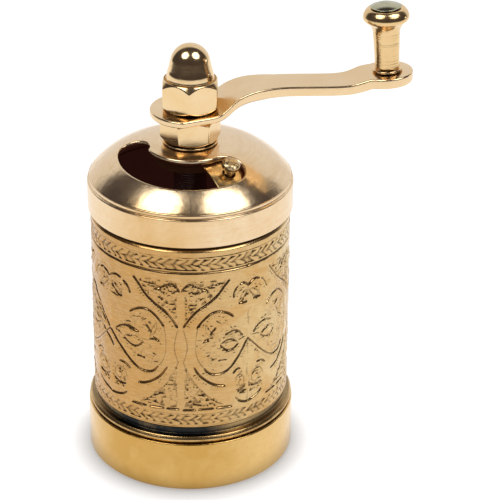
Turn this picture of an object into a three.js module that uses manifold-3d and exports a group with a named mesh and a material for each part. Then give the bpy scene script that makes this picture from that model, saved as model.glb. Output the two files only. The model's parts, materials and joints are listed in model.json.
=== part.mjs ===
// Pocket coffee mill in brass, with a hand crank, an engraved body and a pull-off cup.
// Millimetres, +Z up. The origin is the centre of the cup's flat underside, and the
// crank arm points along +X at rest. Each mesh is one physical piece of the mill.
import * as THREE from 'three';
import { mergeVertices } from 'three/addons/utils/BufferGeometryUtils.js';
import Module from 'manifold-3d';

const wasm = await Module();
wasm.setup();

// ---------- Driving dimensions ----------
const GAP = 0.3; // clearance between pieces that touch or run on each other

const CUP_R = 25.85; // outer radius of the grounds cup
const CUP_TOP = 13.3; // height of the cup's rim
const CUP_WALL = 1.1;
const CUP_FLOOR = 1.2;

const BODY_R = 24.55; // outer radius of the engraved tube
const BODY_BORE = 23.2; // inner radius of the engraved tube
const BODY_BOTTOM = 17.4;
const BODY_SHOULDER = 66.0; // where the tube steps in to enter the lid
const BODY_TOP = 72.4;
const NECK_R = 23.9; // outer radius of the tube inside the lid

const LID_R = 25.0; // outer radius of the lid's band
const BAND_BOTTOM = 66.7;
const BAND_TOP = 73.9;
const DOME_R = 24.4; // radius at the foot of the dome
const DOME_FOOT = 75.1;
const DOME_TOP = 83.2;
const DOME_POWER = 3.6; // how square the dome's shoulder is
const LID_SHEET = 1.2; // sheet thickness of the lid

// The filler slot lies between two arcs whose centres are a little off the lid's axis.
const SLOT_OUTER = { centreY: -2.3, radius: 17.3 };
const SLOT_INNER = { centreY: -0.4, radius: 10.6 };
const SLOT_ENDS = [{ x: 8.7, y: -12.1, radius: 4.1 }, { x: -13.5, y: -2.3, radius: 3.85 }];

const SHUTTER_R = 21.3;
const SHUTTER_DEPTH = LID_SHEET + 0.35; // from the dome's outside to the shutter's top
const SHUTTER_THICK = 0.8;
const SHUTTER_LEAD = -60; // direction of the open shutter's leading edge
const SHUTTER_LEAD_OFFSET = 2.8; // that edge's distance from the radius beside it
const SHUTTER_TRAIL = 92; // azimuth of its trailing edge
const PEG_R = 15.0; // distance of the peg from the shaft
const PEG_AZIMUTH = -53;

const PEG_HOLE_R = 1.5; // the peg's hole in the shutter

const SHAFT_R = 4.0;
const SHAFT_FOOT_R = 3.0;
const SHAFT_BOTTOM = 21.4;
const SHAFT_FLAT = 5.6; // across the square that drives the arm
const SHAFT_THREAD_R = SHAFT_FLAT / 2 + 0.7; // the acorn nut's thread
const SHAFT_TOP = 103.2;
const BORE_R = SHAFT_R + 0.35; // running bore on the shaft
const BUSH_R = BORE_R + 1.25; // the bush through the lid, and its flange below
const BUSH_FLANGE_R = 8.5;
const BUSH_BOTTOM = 78.4;
const BUSH_FLANGE_TOP = 79.8;

const HUB_WASHER_R = 6.7;
const HUB_WASHER_BOTTOM = 83.45;
const HUB_WASHER_TOP = 83.75;
const HUB_NUT_FLATS = 12.8;
const HUB_NUT_TURN = 8; // direction of one of its corners
const HUB_NUT_BOTTOM = 84.0;
const HUB_NUT_TOP = 89.95;
const ARM_THICK = 2.4; // the bar and the pad
const EYE_THICK = 1.55; // the eye and the first bend, which are drawn thinner
const EYE_TOP = 91.8; // top of the arm's eye
const EYE_R = 9.7;
const ARM_HALF_WIDTH = 4.4;
const ARM_SKEW = 0.22; // the arm's bends run this far along it for each unit across
const PAD_X = 46.65; // distance of the pad's centre from the shaft
const PAD_TOP = 101.4;
const PAD_R = 6.1;
const KNOB_X = 46.6;
const RIVET_R = 1.6; // the knob's spindle
const PAD_TILT = THREE.MathUtils.degToRad(3.6); // the knob leans a little towards the hub

const ACORN_FLATS = 13.0;
const ACORN_TURN = 28;
const ACORN_BOTTOM = 92.1;
const ACORN_HEX_TOP = 99.4;
const ACORN_TOP = 108.0;

const RING_BOTTOM = 17.3; // fixed burr
const RING_TOP = 36.0;
const RING_R = 21.0;
const CONE_BOTTOM = 22.6; // turning burr
const CONE_TOP = 37.0;
const FLUTES = 12; // cut in each burr
const GUIDE_Z = 56.0; // underside of the shaft guide
const BRIDGE_Z = 14.0; // underside of the bridge below the burrs
const SCREW_X = 18.2; // distance of the bridge's screws from the shaft
const SCREW_R = 1.25;
const ADJUSTER_R = 2.0;
const ADJUSTER_TOP = 18.4;
const BALL_R = 1.2;

const LARGE_ROUND = 48; // facets round a large turned piece
const SMALL_ROUND = 24; // and round a small one

const radians = THREE.MathUtils.degToRad;

// ---------- Solids ----------

// A manifold solid from a closed three.js geometry, with its faces pointing out.
function solid(geometry) {
  const bare = geometry.index ? geometry.toNonIndexed() : geometry.clone();
  bare.deleteAttribute('normal');
  bare.deleteAttribute('uv');
  const merged = mergeVertices(bare, 1e-4);
  const corner = merged.index.array;
  const faces = [];
  for (let i = 0; i < corner.length; i += 3) {
    const [a, b, c] = [corner[i], corner[i + 1], corner[i + 2]];
    if (a !== b && b !== c && c !== a) faces.push(a, b, c);
  }
  if (signedVolume(merged.attributes.position, faces) < 0) faces.reverse();
  return new wasm.Manifold(new wasm.Mesh({
    numProp: 3,
    vertProperties: new Float32Array(merged.attributes.position.array),
    triVerts: new Uint32Array(faces),
  }));
}

function signedVolume(position, faces) {
  const [a, b, c] = [new THREE.Vector3(), new THREE.Vector3(), new THREE.Vector3()];
  let sum = 0;
  for (let i = 0; i < faces.length; i += 3) {
    a.fromBufferAttribute(position, faces[i]);
    b.fromBufferAttribute(position, faces[i + 1]);
    c.fromBufferAttribute(position, faces[i + 2]);
    sum += a.dot(b.cross(c));
  }
  return sum / 6;
}

// A three.js geometry from a manifold solid.
function geometryOf(body) {
  const mesh = body.getMesh();
  const geometry = new THREE.BufferGeometry();
  geometry.setAttribute('position', new THREE.BufferAttribute(new Float32Array(mesh.vertProperties), 3));
  geometry.setIndex(new THREE.BufferAttribute(new Uint32Array(mesh.triVerts), 1));
  geometry.computeVertexNormals();
  return geometry;
}

// A piece turned about Z. The profile is [radius, height] pairs. A ring's profile has no
// point on the axis, and is closed here.
function turned(profile, facets = SMALL_ROUND) {
  const onAxis = profile[0][0] === 0;
  const outline = onAxis ? profile : [...profile, profile[0]];
  const points = outline.map(([r, z]) => new THREE.Vector2(r, z));
  return solid(new THREE.LatheGeometry(points, facets).rotateX(Math.PI / 2));
}

function rod(radius, bottom, top, facets = SMALL_ROUND) {
  return turned([[0, bottom], [radius, bottom], [radius, top], [0, top]], facets);
}

// A flat outline in X and Y, raised from bottom to top.
function plate(shape, bottom, top, curveSegments = 12) {
  const geometry = new THREE.ExtrudeGeometry(shape, {
    depth: top - bottom, bevelEnabled: false, curveSegments,
  });
  return solid(geometry.translate(0, 0, bottom));
}

function polygon(points) {
  return new THREE.Shape(points.map(([x, y]) => new THREE.Vector2(x, y)));
}

function hexagon(flats, firstCorner) {
  const radius = flats / Math.sqrt(3);
  return polygon(Array.from({ length: 6 }, (_, i) => {
    const angle = radians(firstCorner + 60 * i);
    return [radius * Math.cos(angle), radius * Math.sin(angle)];
  }));
}

function square(side) {
  const h = side / 2;
  return polygon([[-h, -h], [h, -h], [h, h], [-h, h]]);
}

// ---------- Scene graph ----------
const mill = new THREE.Group();
const knobFrame = new THREE.Group(); // the leaning axis of the knob, Z along the rivet
knobFrame.position.set(KNOB_X, 0, PAD_TOP);
knobFrame.rotation.y = -PAD_TILT;
mill.add(knobFrame);

const FINISHES = {
  polishedBrass: { color: 0xe3bd78, roughness: 0.16, metalness: 1 },
  engravedBrass: { color: 0xb98f4c, roughness: 0.36, metalness: 1 },
  darkBrass: { color: 0x8a6a38, roughness: 0.45, metalness: 1 },
  steel: { color: 0x9c9a94, roughness: 0.35, metalness: 1 },
  castIron: { color: 0x4a4744, roughness: 0.6, metalness: 0.9 },
};

function add(name, body, finish, parent = mill) {
  const material = new THREE.MeshStandardMaterial(FINISHES[finish]);
  material.name = finish;
  const mesh = new THREE.Mesh(geometryOf(body), material);
  mesh.name = name;
  parent.add(mesh);
}

// ---------- Cup and body ----------
function baseCup() {
  const bore = CUP_R - CUP_WALL;
  return turned([
    [0, 0], [CUP_R - 0.65, 0], [CUP_R - 0.2, 0.2], [CUP_R, 0.8], [CUP_R, CUP_TOP - 0.4], [CUP_R - 0.3, CUP_TOP], [bore, CUP_TOP],
    [bore, CUP_FLOOR + 1], [bore - 1, CUP_FLOOR], [0, CUP_FLOOR],
  ], LARGE_ROUND);
}

// The turned foot of the body: a spigot that fits the cup, a bead, a groove, and an inner
// sleeve that enters the engraved tube.
function spigotRing() {
  const spigot = CUP_R - CUP_WALL - GAP;
  const seat = CUP_TOP + GAP;
  const sleeve = BODY_BORE - GAP;
  return turned([
    [spigot - 1.6, 8.6], [spigot, 8.6], [spigot, seat],
    [CUP_R - 0.5, seat], [CUP_R - 0.15, seat + 0.8], [CUP_R - 0.6, seat + 1.6],
    [BODY_R - 0.5, seat + 1.9], [BODY_R - 0.5, BODY_BOTTOM - GAP],
    [sleeve, BODY_BOTTOM - GAP], [sleeve, BODY_BOTTOM + 1.8], [spigot - 2.6, BODY_BOTTOM + 1.8],
    [spigot - 2.6, 13.2],
  ], LARGE_ROUND);
}

function millBody() {
  return turned([
    [BODY_BORE, BODY_BOTTOM], [BODY_R, BODY_BOTTOM], [BODY_R, BODY_SHOULDER - 0.5],
    [NECK_R, BODY_SHOULDER - 0.1], [NECK_R, BODY_TOP], [BODY_BORE, BODY_TOP],
  ], LARGE_ROUND);
}

// ---------- Lid, filler slot and shutter ----------
const domeHeight = (r) => DOME_FOOT + (DOME_TOP - DOME_FOOT) * (1 - (r / DOME_R) ** DOME_POWER);

// The height of a surface that lies a set distance below the dome, at a given radius.
function underDome(r, depth) {
  const slope = (DOME_TOP - DOME_FOOT) * DOME_POWER / DOME_R * (r / DOME_R) ** (DOME_POWER - 1);
  return domeHeight(r) - depth * Math.hypot(1, slope);
}

const spaced = (from, to, count) =>
  Array.from({ length: count + 1 }, (_, i) => from + (to - from) * i / count);

// A solid as tall as the lid, with the slot's outline.
function slotTool() {
  const [bottom, top] = [DOME_FOOT - 5, DOME_TOP + 5];
  const [right, left] = SLOT_ENDS;
  // Azimuths from an arc's centre, counted down from +X so that the slot is one span.
  const facing = (end, arc) => {
    const angle = Math.atan2(end.y - arc.centreY, end.x);
    return angle > 0 ? angle - 2 * Math.PI : angle;
  };
  const [outer, inner] = [SLOT_OUTER, SLOT_INNER];
  const shape = new THREE.Shape();
  shape.absarc(0, outer.centreY, outer.radius, facing(left, outer), facing(right, outer), false);
  shape.absarc(0, inner.centreY, inner.radius, facing(right, inner), facing(left, inner), true);
  const ends = SLOT_ENDS.map((end) => rod(end.radius, bottom, top, 20).translate([end.x, end.y, 0]));
  return plate(shape, bottom, top, 10).add(ends[0]).add(ends[1]);
}

function lidCap() {
  const skirtBore = NECK_R + GAP;
  const hole = BUSH_R + GAP;
  const outside = spaced(DOME_R, hole, 9).map((r) => [r, domeHeight(r)]);
  const inside = spaced(hole, DOME_R - 1.6, 6).map((r) => [r, underDome(r, LID_SHEET)]);
  const shell = turned([
    [skirtBore, BAND_BOTTOM], [LID_R - 0.4, BAND_BOTTOM], [LID_R, BAND_BOTTOM + 0.5],
    [LID_R, BAND_TOP - 0.15], [LID_R - 0.4, BAND_TOP], [DOME_R + 0.05, BAND_TOP + 0.15],
    [DOME_R + 0.2, BAND_TOP + 0.45], [DOME_R + 0.2, DOME_FOOT - 0.1], ...outside, ...inside, [skirtBore, BODY_TOP + GAP],
  ], LARGE_ROUND);
  return shell.subtract(slotTool());
}

// A flanged bush through the lid. The shaft runs in it and the shutter turns on it.
function lidBush() {
  const top = DOME_TOP - 0.1;
  return turned([
    [BORE_R, BUSH_BOTTOM], [BUSH_FLANGE_R, BUSH_BOTTOM], [BUSH_FLANGE_R, BUSH_FLANGE_TOP],
    [BUSH_R, BUSH_FLANGE_TOP], [BUSH_R, top], [BORE_R, top],
  ]);
}

// A spring washer with three waves, between the bush's flange and the shutter.
function waveWasher() {
  const [inner, outer, thick, rise] = [BUSH_R + GAP, BUSH_FLANGE_R - 0.2, 0.3, 0.12];
  const geometry = new THREE.LatheGeometry([
    [inner, 0], [outer, 0], [outer, thick], [inner, thick], [inner, 0],
  ].map(([r, z]) => new THREE.Vector2(r, z)), 36).rotateX(Math.PI / 2);
  const position = geometry.attributes.position;
  for (let i = 0; i < position.count; i++) {
    const angle = Math.atan2(position.getY(i), position.getX(i));
    position.setZ(i, position.getZ(i) + BUSH_FLANGE_TOP + 0.25 + rise * (1 + Math.sin(3 * angle)));
  }
  return solid(geometry);
}

function shutterPlate() {
  const radii = spaced(BUSH_R + GAP, SHUTTER_R, 6);
  const top = radii.map((r) => [r, underDome(r, SHUTTER_DEPTH)]);
  const under = [...radii].reverse().map((r) => [r, underDome(r, SHUTTER_DEPTH + SHUTTER_THICK)]);
  const whole = turned([...top, ...under], LARGE_ROUND);
  const polar = (r, angle) => new THREE.Vector2(r * Math.cos(angle), r * Math.sin(angle));
  const [lead, trail] = [radians(SHUTTER_LEAD), radians(SHUTTER_TRAIL)];
  const aside = polar(SHUTTER_LEAD_OFFSET, lead - Math.PI / 2);
  const far = SHUTTER_R + 5;
  const corners = spaced(lead, trail, 5).map((angle) => polar(far / Math.cos((trail - lead) / 10), angle));
  const sector = new THREE.Shape([aside, polar(far, lead).add(aside), ...corners, polar(0, 0)]);
  const keep = plate(sector, 70, 90).add(rod(9.4, 70, 90, 24));
  return whole.intersect(keep).subtract(pegFrame(rod(PEG_HOLE_R, -8, 8)));
}

// Stands a solid, made about Z, square on the sloping shutter where the peg goes.
function pegFrame(body) {
  const fall = domeHeight(PEG_R - 0.5) - domeHeight(PEG_R + 0.5);
  return body.rotate([0, THREE.MathUtils.radToDeg(Math.atan(fall)), 0])
    .translate([PEG_R, 0, underDome(PEG_R, SHUTTER_DEPTH)])
    .rotate([0, 0, PEG_AZIMUTH]);
}

// A riveted peg: a foot below the shutter, a neck, and a domed head above the lid.
function shutterPeg() {
  const neck = PEG_HOLE_R - GAP;
  return pegFrame(turned([
    [0, -2.3], [2.1, -2.3], [2.1, -1.4], [neck, -1.4], [neck, 1.3], [1.9, 1.7], [2.2, 2.2],
    [2.2, 3.0], [1.8, 3.5], [0, 3.7],
  ], 20));
}

// ---------- Crank ----------
function driveShaft() {
  const squareFrom = HUB_NUT_TOP - 0.2;
  const squareTo = EYE_TOP + 0.2;
  const lower = turned([
    [0, SHAFT_BOTTOM], [SHAFT_FOOT_R, SHAFT_BOTTOM], [SHAFT_FOOT_R, CONE_BOTTOM + 3.6],
    [SHAFT_R, CONE_BOTTOM + 3.6], [SHAFT_R, squareFrom], [0, squareFrom],
  ]);
  const drive = plate(square(SHAFT_FLAT), squareFrom - 0.1, squareTo);
  const thread = turned([
    [0, squareTo - 0.1], [SHAFT_THREAD_R, squareTo - 0.1], [SHAFT_THREAD_R, SHAFT_TOP - 0.6],
    [SHAFT_THREAD_R - 0.6, SHAFT_TOP], [0, SHAFT_TOP],
  ]);
  return lower.add(drive).add(thread);
}

function hubWasher() {
  return turned([
    [BORE_R, HUB_WASHER_BOTTOM], [HUB_WASHER_R, HUB_WASHER_BOTTOM],
    [HUB_WASHER_R, HUB_WASHER_TOP], [BORE_R, HUB_WASHER_TOP],
  ]);
}

// A hexagon whose corners are turned off where they meet the faces.
function hexNut(flats, firstCorner, bottom, top, lowChamfer, highChamfer = lowChamfer) {
  const corner = flats / Math.sqrt(3);
  const bevelled = turned([
    [0, bottom], [flats / 2 - 0.2, bottom], [corner, bottom + lowChamfer],
    [corner, top - highChamfer], [flats / 2 - 0.2, top], [0, top],
  ], 24);
  return bevelled.intersect(plate(hexagon(flats, firstCorner), bottom, top));
}

function hubNut() {
  return hexNut(HUB_NUT_FLATS, HUB_NUT_TURN, HUB_NUT_BOTTOM, HUB_NUT_TOP, 0.9)
    .subtract(rod(BORE_R, HUB_NUT_BOTTOM - 1, HUB_NUT_TOP + 1));
}

// The arm's middle line in side view, as [x, z]: up a bend from the eye to the plateau,
// then a step to the pad.
const ARM_BEND = [
  [9.5, 92.85], [11.9, 94.95], [15.5, 96.45], [21, 97.5], [27, 97.65], [35, 97.7],
  [38.6, 98.05], [41.2, 99.0],
];

function armSide() {
  const eyeMid = EYE_TOP - EYE_THICK / 2;
  const padRise = Math.tan(PAD_TILT);
  const padMid = (x) => PAD_TOP - ARM_THICK / 2 + (x - KNOB_X) * padRise;
  const bend = new THREE.SplineCurve([[7.6, eyeMid], ...ARM_BEND, [43.4, padMid(43.4)]]
    .map(([x, z]) => new THREE.Vector2(x, z))).getPoints(26);
  const end = new THREE.Vector2(PAD_X + 8, padMid(PAD_X + 8));
  const line = [new THREE.Vector2(-EYE_R - 2, eyeMid), ...bend, end];
  const thickness = (x) =>
    THREE.MathUtils.lerp(EYE_THICK, ARM_THICK, THREE.MathUtils.smoothstep(x, 9, 17));
  const side = (sign) => line.map((p, i) => {
    const along = line[Math.min(i + 1, line.length - 1)].clone().sub(line[Math.max(i - 1, 0)]);
    const normal = new THREE.Vector2(-along.y, along.x).normalize();
    return p.clone().addScaledVector(normal, sign * thickness(p.x) / 2);
  });
  return new THREE.Shape([...side(-1), ...side(1).reverse()]);
}

// The arm's plan: a round eye that tapers to the bar, more quickly on the near side, and a
// round pad for the knob.
function armPlan() {
  const half = ARM_HALF_WIDTH;
  const nearAngle = Math.PI + Math.acos(1.8 / EYE_R);
  const farAngle = Math.acos(2.5 / EYE_R);
  const padAngle = Math.asin((half + 0.5) / PAD_R);
  const plan = new THREE.Shape();
  plan.absarc(0, 0, EYE_R, farAngle, nearAngle, false);
  plan.lineTo(8.0, -half - 0.9);
  plan.lineTo(10.6, -half);
  plan.lineTo(39.5, -half);
  plan.absarc(PAD_X, 0, PAD_R, padAngle - Math.PI, Math.PI - padAngle, false);
  plan.lineTo(37.5, half);
  plan.lineTo(20, half);
  return plan;
}

function crankArm() {
  const reach = 12; // well past the arm's edges
  const skew = new THREE.Matrix4().makeShear(0, 0, -ARM_SKEW, 0, 0, 0);
  const bar = solid(new THREE.ExtrudeGeometry(armSide(), { depth: 2 * reach, bevelEnabled: false })
    .rotateX(Math.PI / 2).translate(0, reach + ARM_HALF_WIDTH, 0)
    .applyMatrix4(skew).translate(0, -ARM_HALF_WIDTH, 0));
  const knobHole = rod(RIVET_R + GAP, -6, 6, 20).rotate([0, -THREE.MathUtils.radToDeg(PAD_TILT), 0])
    .translate([KNOB_X, 0, PAD_TOP]);
  return bar.intersect(plate(armPlan(), 80, 110, 18))
    .subtract(plate(square(SHAFT_FLAT + 2 * GAP), 80, 110))
    .subtract(knobHole);
}

// The acorn's dome from its foot to its tip, as [radius, z]. It narrows from the foot up.
const ACORN_DOME = [
  [5.7, ACORN_HEX_TOP + 0.2], [5.6, 100.3], [5.3, 101.5], [4.95, 103], [4.55, 104.2],
  [3.75, 105.8], [2.7, 107], [1.4, 107.8], [0, ACORN_TOP],
];

// A domed nut, bored blind for the shaft's thread.
function acornNut() {
  const hex = hexNut(ACORN_FLATS, ACORN_TURN, ACORN_BOTTOM, ACORN_HEX_TOP, 1, 1.5);
  const dome = turned([[0, ACORN_HEX_TOP - 0.5], [5.6, ACORN_HEX_TOP - 0.5], ...ACORN_DOME]);
  const bore = rod(SHAFT_THREAD_R + GAP, ACORN_BOTTOM - 1, SHAFT_TOP + GAP);
  return hex.add(dome).subtract(bore);
}

// ---------- Knob, in the leaning frame whose origin is the middle of the pad's top ----------
const GRIP_BOTTOM = 1.1;
const GRIP_TOP = 15.7;

function knobWasher() {
  return turned([[RIVET_R + GAP, 0.3], [3.6, 0.3], [3.6, 0.8], [RIVET_R + GAP, 0.8]]);
}

function knobGrip() {
  return turned([
    [RIVET_R + GAP, GRIP_BOTTOM], [2.95, GRIP_BOTTOM], [2.95, 3], [3.05, 6], [3.2, 9.8],
    [3.5, 10.8], [4.1, 11.8], [5.1, 12.7], [5.5, 13.4], [5.4, 14.2], [4.9, 15.1], [4.2, GRIP_TOP],
    [RIVET_R + GAP, GRIP_TOP],
  ]);
}

function knobRivet() {
  const under = -ARM_THICK - GAP;
  const seat = GRIP_TOP + GAP;
  return turned([
    [0, under - 0.7], [2.2, under - 0.7], [3.0, under], [RIVET_R, under], [RIVET_R, seat],
    [3.65, seat], [3.65, seat + 0.25], [2.9, seat + 0.7], [1.6, seat + 0.95], [0, seat + 1.05],
  ]);
}

// ---------- Grinding works ----------

// Cuts evenly spaced slanting flutes: each is a square bar, leaning along the cone's wall.
function flute(body, radius, middle, lean, twist) {
  let cut = body;
  for (let i = 0; i < FLUTES; i++) {
    const bar = plate(square(1.5), -9, 9).rotate([0, 0, 45]).rotate([twist, lean, 0])
      .translate([radius, 0, middle]).rotate([0, 0, 360 / FLUTES * i]);
    cut = cut.subtract(bar);
  }
  return cut;
}

function ringBurr() {
  const ring = turned([
    [15.0, RING_BOTTOM], [RING_R, RING_BOTTOM], [RING_R, RING_TOP - 2], [BODY_BORE - 0.4, RING_TOP - 2],
    [BODY_BORE - 0.4, RING_TOP], [17.0, RING_TOP], [16.0, 31], [14.5, 25.5], [14.4, 22],
  ], 36);
  return flute(ring, 16.1, 30.5, 13, 14);
}

function coneBurr() {
  const recess = 6.3;
  const cone = turned([
    [recess, CONE_BOTTOM], [13.3, CONE_BOTTOM], [13.2, CONE_BOTTOM + 2], [12.4, 28], [8.8, 33],
    [6.6, CONE_TOP], [BORE_R, CONE_TOP], [BORE_R, CONE_BOTTOM + 3.4], [recess, CONE_BOTTOM + 3.4],
  ], 36);
  return flute(cone, 11.9, 30, -33, 16);
}

// Pressed into the body to carry the fixed burr's flange.
function burrSeat() {
  const top = RING_TOP - 2 - GAP;
  return turned([
    [RING_R + GAP, top - 2.6], [BODY_BORE - GAP, top - 2.6], [BODY_BORE - GAP, top], [RING_R + GAP, top],
  ], 48);
}

function burrNut() {
  return hexNut(10, 0, CONE_BOTTOM + 0.3, CONE_BOTTOM + 3.1, 0.4)
    .subtract(rod(SHAFT_FOOT_R + GAP, 20, 30));
}

// The bar below the burrs. Two screws hold it to the fixed burr, and it carries the adjuster.
function burrBridge() {
  const bar = plate(square(1), BRIDGE_Z, BRIDGE_Z + 3).scale([40.4, 8, 1]);
  const ends = rod(20.8, BRIDGE_Z, BRIDGE_Z + 3, 48);
  let bridge = bar.intersect(ends).add(rod(6, BRIDGE_Z, BRIDGE_Z + 3));
  bridge = bridge.subtract(rod(ADJUSTER_R + GAP, 10, 20));
  for (const x of [-SCREW_X, SCREW_X]) {
    bridge = bridge.subtract(rod(SCREW_R + GAP, 10, 20, 16).translate([x, 0, 0]));
  }
  return bridge;
}

function bridgeScrew(x) {
  const head = turned([
    [0, BRIDGE_Z - 1.6], [1.6, BRIDGE_Z - 1.6], [2.2, BRIDGE_Z - 1.1], [2.2, BRIDGE_Z - GAP],
    [SCREW_R, BRIDGE_Z - GAP], [SCREW_R, 22], [0, 22],
  ], 16);
  const driverSlot = plate(square(1), 11, BRIDGE_Z - 1.1).scale([6, 0.6, 1]);
  return head.subtract(driverSlot).translate([x, 0, 0]);
}

const screwPocket = (x) => rod(SCREW_R + GAP, 10, 22.4, 16).translate([x, 0, 0]);

// The screw below the shaft sets how fine the mill grinds: it lifts the ball, the shaft
// and the cone together.
function adjusterScrew() {
  const wheel = turned([
    [0, 8.2], [4.6, 8.2], [5.0, 8.6], [5.0, 10.4], [4.6, 10.8], [ADJUSTER_R, 10.8],
    [ADJUSTER_R, ADJUSTER_TOP - 0.5], [ADJUSTER_R - 0.5, ADJUSTER_TOP], [0, ADJUSTER_TOP],
  ], 32);
  let knurled = wheel;
  for (let i = 0; i < 12; i++) {
    const notch = plate(square(0.8), 8, 11).rotate([0, 0, 45]).translate([5.1, 0, 0])
      .rotate([0, 0, 30 * i]);
    knurled = knurled.subtract(notch);
  }
  return knurled;
}

function adjusterLockNut() {
  return hexNut(8, 0, BRIDGE_Z - 2.5, BRIDGE_Z - GAP, 0.3)
    .subtract(rod(ADJUSTER_R + GAP, 10, 20));
}

function thrustBall() {
  const middle = (ADJUSTER_TOP + SHAFT_BOTTOM) / 2;
  return solid(new THREE.SphereGeometry(BALL_R, 12, 8).translate(0, 0, middle));
}

// A press-fitted spider that keeps the shaft upright in the hopper.
function shaftGuide() {
  const [outer, height] = [BODY_BORE - GAP, 3.2];
  const rim = turned([
    [outer - 1.5, GUIDE_Z], [outer, GUIDE_Z], [outer, GUIDE_Z + height], [outer - 1.5, GUIDE_Z + height],
  ], 48);
  let spider = rim.add(rod(6.6, GUIDE_Z, GUIDE_Z + height));
  for (let i = 0; i < 3; i++) {
    const spoke = plate(square(1), GUIDE_Z, GUIDE_Z + height).scale([17, 4, 1])
      .translate([outer - 9.5, 0, 0]).rotate([0, 0, 30 + 120 * i]);
    spider = spider.add(spoke);
  }
  return spider.subtract(rod(BORE_R, GUIDE_Z - 1, GUIDE_Z + 5));
}

function springCollar() {
  return turned([
    [BORE_R, CONE_TOP + GAP], [7.2, CONE_TOP + GAP], [7.2, CONE_TOP + 1.5], [BORE_R, CONE_TOP + 1.5],
  ]);
}

// The spring between the collar and the guide holds the shaft down on the ball.
function shaftSpring() {
  const [turns, wire, coilR] = [5, 0.65, 5.7];
  const bottom = CONE_TOP + 1.5 + GAP + wire;
  const top = GUIDE_Z - GAP - wire;
  class Helix extends THREE.Curve {
    getPoint(t, target = new THREE.Vector3()) {
      const angle = 2 * Math.PI * turns * t;
      return target.set(coilR * Math.cos(angle), coilR * Math.sin(angle), bottom + (top - bottom) * t);
    }
  }
  const section = polygon(Array.from({ length: 5 }, (_, i) =>
    [wire * Math.cos(radians(72 * i)), wire * Math.sin(radians(72 * i))]));
  return solid(new THREE.ExtrudeGeometry(section, {
    steps: turns * 12, extrudePath: new Helix(), bevelEnabled: false,
  }));
}

// ---------- Assembly ----------
add('base_cup', baseCup(), 'polishedBrass');
add('spigot_ring', spigotRing(), 'polishedBrass');
add('mill_body', millBody(), 'engravedBrass');

add('lid_cap', lidCap(), 'polishedBrass');
add('lid_bush', lidBush(), 'darkBrass');
add('shutter_wave_washer', waveWasher(), 'steel');
add('shutter_plate', shutterPlate(), 'darkBrass');
add('shutter_peg', shutterPeg(), 'polishedBrass');

add('drive_shaft', driveShaft(), 'steel');
add('hub_washer', hubWasher(), 'polishedBrass');
add('hub_nut', hubNut(), 'polishedBrass');
add('crank_arm', crankArm(), 'polishedBrass');
add('acorn_nut', acornNut(), 'polishedBrass');
add('knob_washer', knobWasher(), 'polishedBrass', knobFrame);
add('knob_grip', knobGrip(), 'polishedBrass', knobFrame);
add('knob_rivet', knobRivet(), 'steel', knobFrame);

add('shaft_guide', shaftGuide(), 'darkBrass');
add('shaft_spring', shaftSpring(), 'steel');
add('spring_collar', springCollar(), 'steel');
add('cone_burr', coneBurr(), 'castIron');
add('burr_nut', burrNut(), 'steel');
add('ring_burr', ringBurr().subtract(screwPocket(SCREW_X)).subtract(screwPocket(-SCREW_X)), 'castIron');
add('burr_seat', burrSeat(), 'darkBrass');
add('burr_bridge', burrBridge(), 'darkBrass');
add('bridge_screw_right', bridgeScrew(SCREW_X), 'steel');
add('bridge_screw_left', bridgeScrew(-SCREW_X), 'steel');
add('thrust_ball', thrustBall(), 'steel');
add('adjuster_screw', adjusterScrew(), 'darkBrass');
add('adjuster_lock_nut', adjusterLockNut(), 'darkBrass');

export default mill;
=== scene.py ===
import json
import math

import bpy
import numpy as np
from mathutils import Matrix, Vector
from mathutils.geometry import delaunay_2d_cdt

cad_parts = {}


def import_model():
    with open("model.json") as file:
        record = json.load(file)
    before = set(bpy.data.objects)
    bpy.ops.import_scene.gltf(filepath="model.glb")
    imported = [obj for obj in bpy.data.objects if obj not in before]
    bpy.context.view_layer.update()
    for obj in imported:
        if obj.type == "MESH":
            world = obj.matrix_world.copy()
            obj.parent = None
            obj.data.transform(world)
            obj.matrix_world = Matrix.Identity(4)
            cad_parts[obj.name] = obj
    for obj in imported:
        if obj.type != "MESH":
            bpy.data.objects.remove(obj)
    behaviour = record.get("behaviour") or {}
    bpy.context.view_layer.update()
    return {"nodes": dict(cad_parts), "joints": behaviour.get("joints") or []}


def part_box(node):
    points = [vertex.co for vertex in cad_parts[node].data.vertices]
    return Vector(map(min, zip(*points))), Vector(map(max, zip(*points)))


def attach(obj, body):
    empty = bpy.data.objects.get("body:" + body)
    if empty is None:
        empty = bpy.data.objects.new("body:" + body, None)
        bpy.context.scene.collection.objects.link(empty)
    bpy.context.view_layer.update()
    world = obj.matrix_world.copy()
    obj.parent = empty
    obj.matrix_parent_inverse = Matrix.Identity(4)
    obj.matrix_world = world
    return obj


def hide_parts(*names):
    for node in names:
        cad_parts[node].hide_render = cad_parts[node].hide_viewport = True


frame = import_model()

MM = 0.001
RNG = np.random.default_rng(7)
# Facets round a turned piece: a small one, the knob, and a large one.
SMALL_DETAIL, KNOB_DETAIL, FINE_DETAIL = 96, 128, 192


def span(node):
    """Lowest and highest corner of a CAD node, in millimetres."""
    low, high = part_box(node)
    return low / MM, high / MM


CUP_HIGH = span("base_cup")[1]
RING_LOW, RING_HIGH = span("spigot_ring")
BODY_LOW, BODY_HIGH = span("mill_body")
LID_LOW, LID_HIGH = span("lid_cap")
CUP_R, BODY_R, LID_R = CUP_HIGH.x, BODY_HIGH.x, LID_HIGH.x


# ---------- Mesh helpers ----------

def new_object(name, data):
    """An object in the scene that shows some data."""
    made = bpy.data.objects.new(name, data)
    bpy.context.scene.collection.objects.link(made)
    return made


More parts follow.
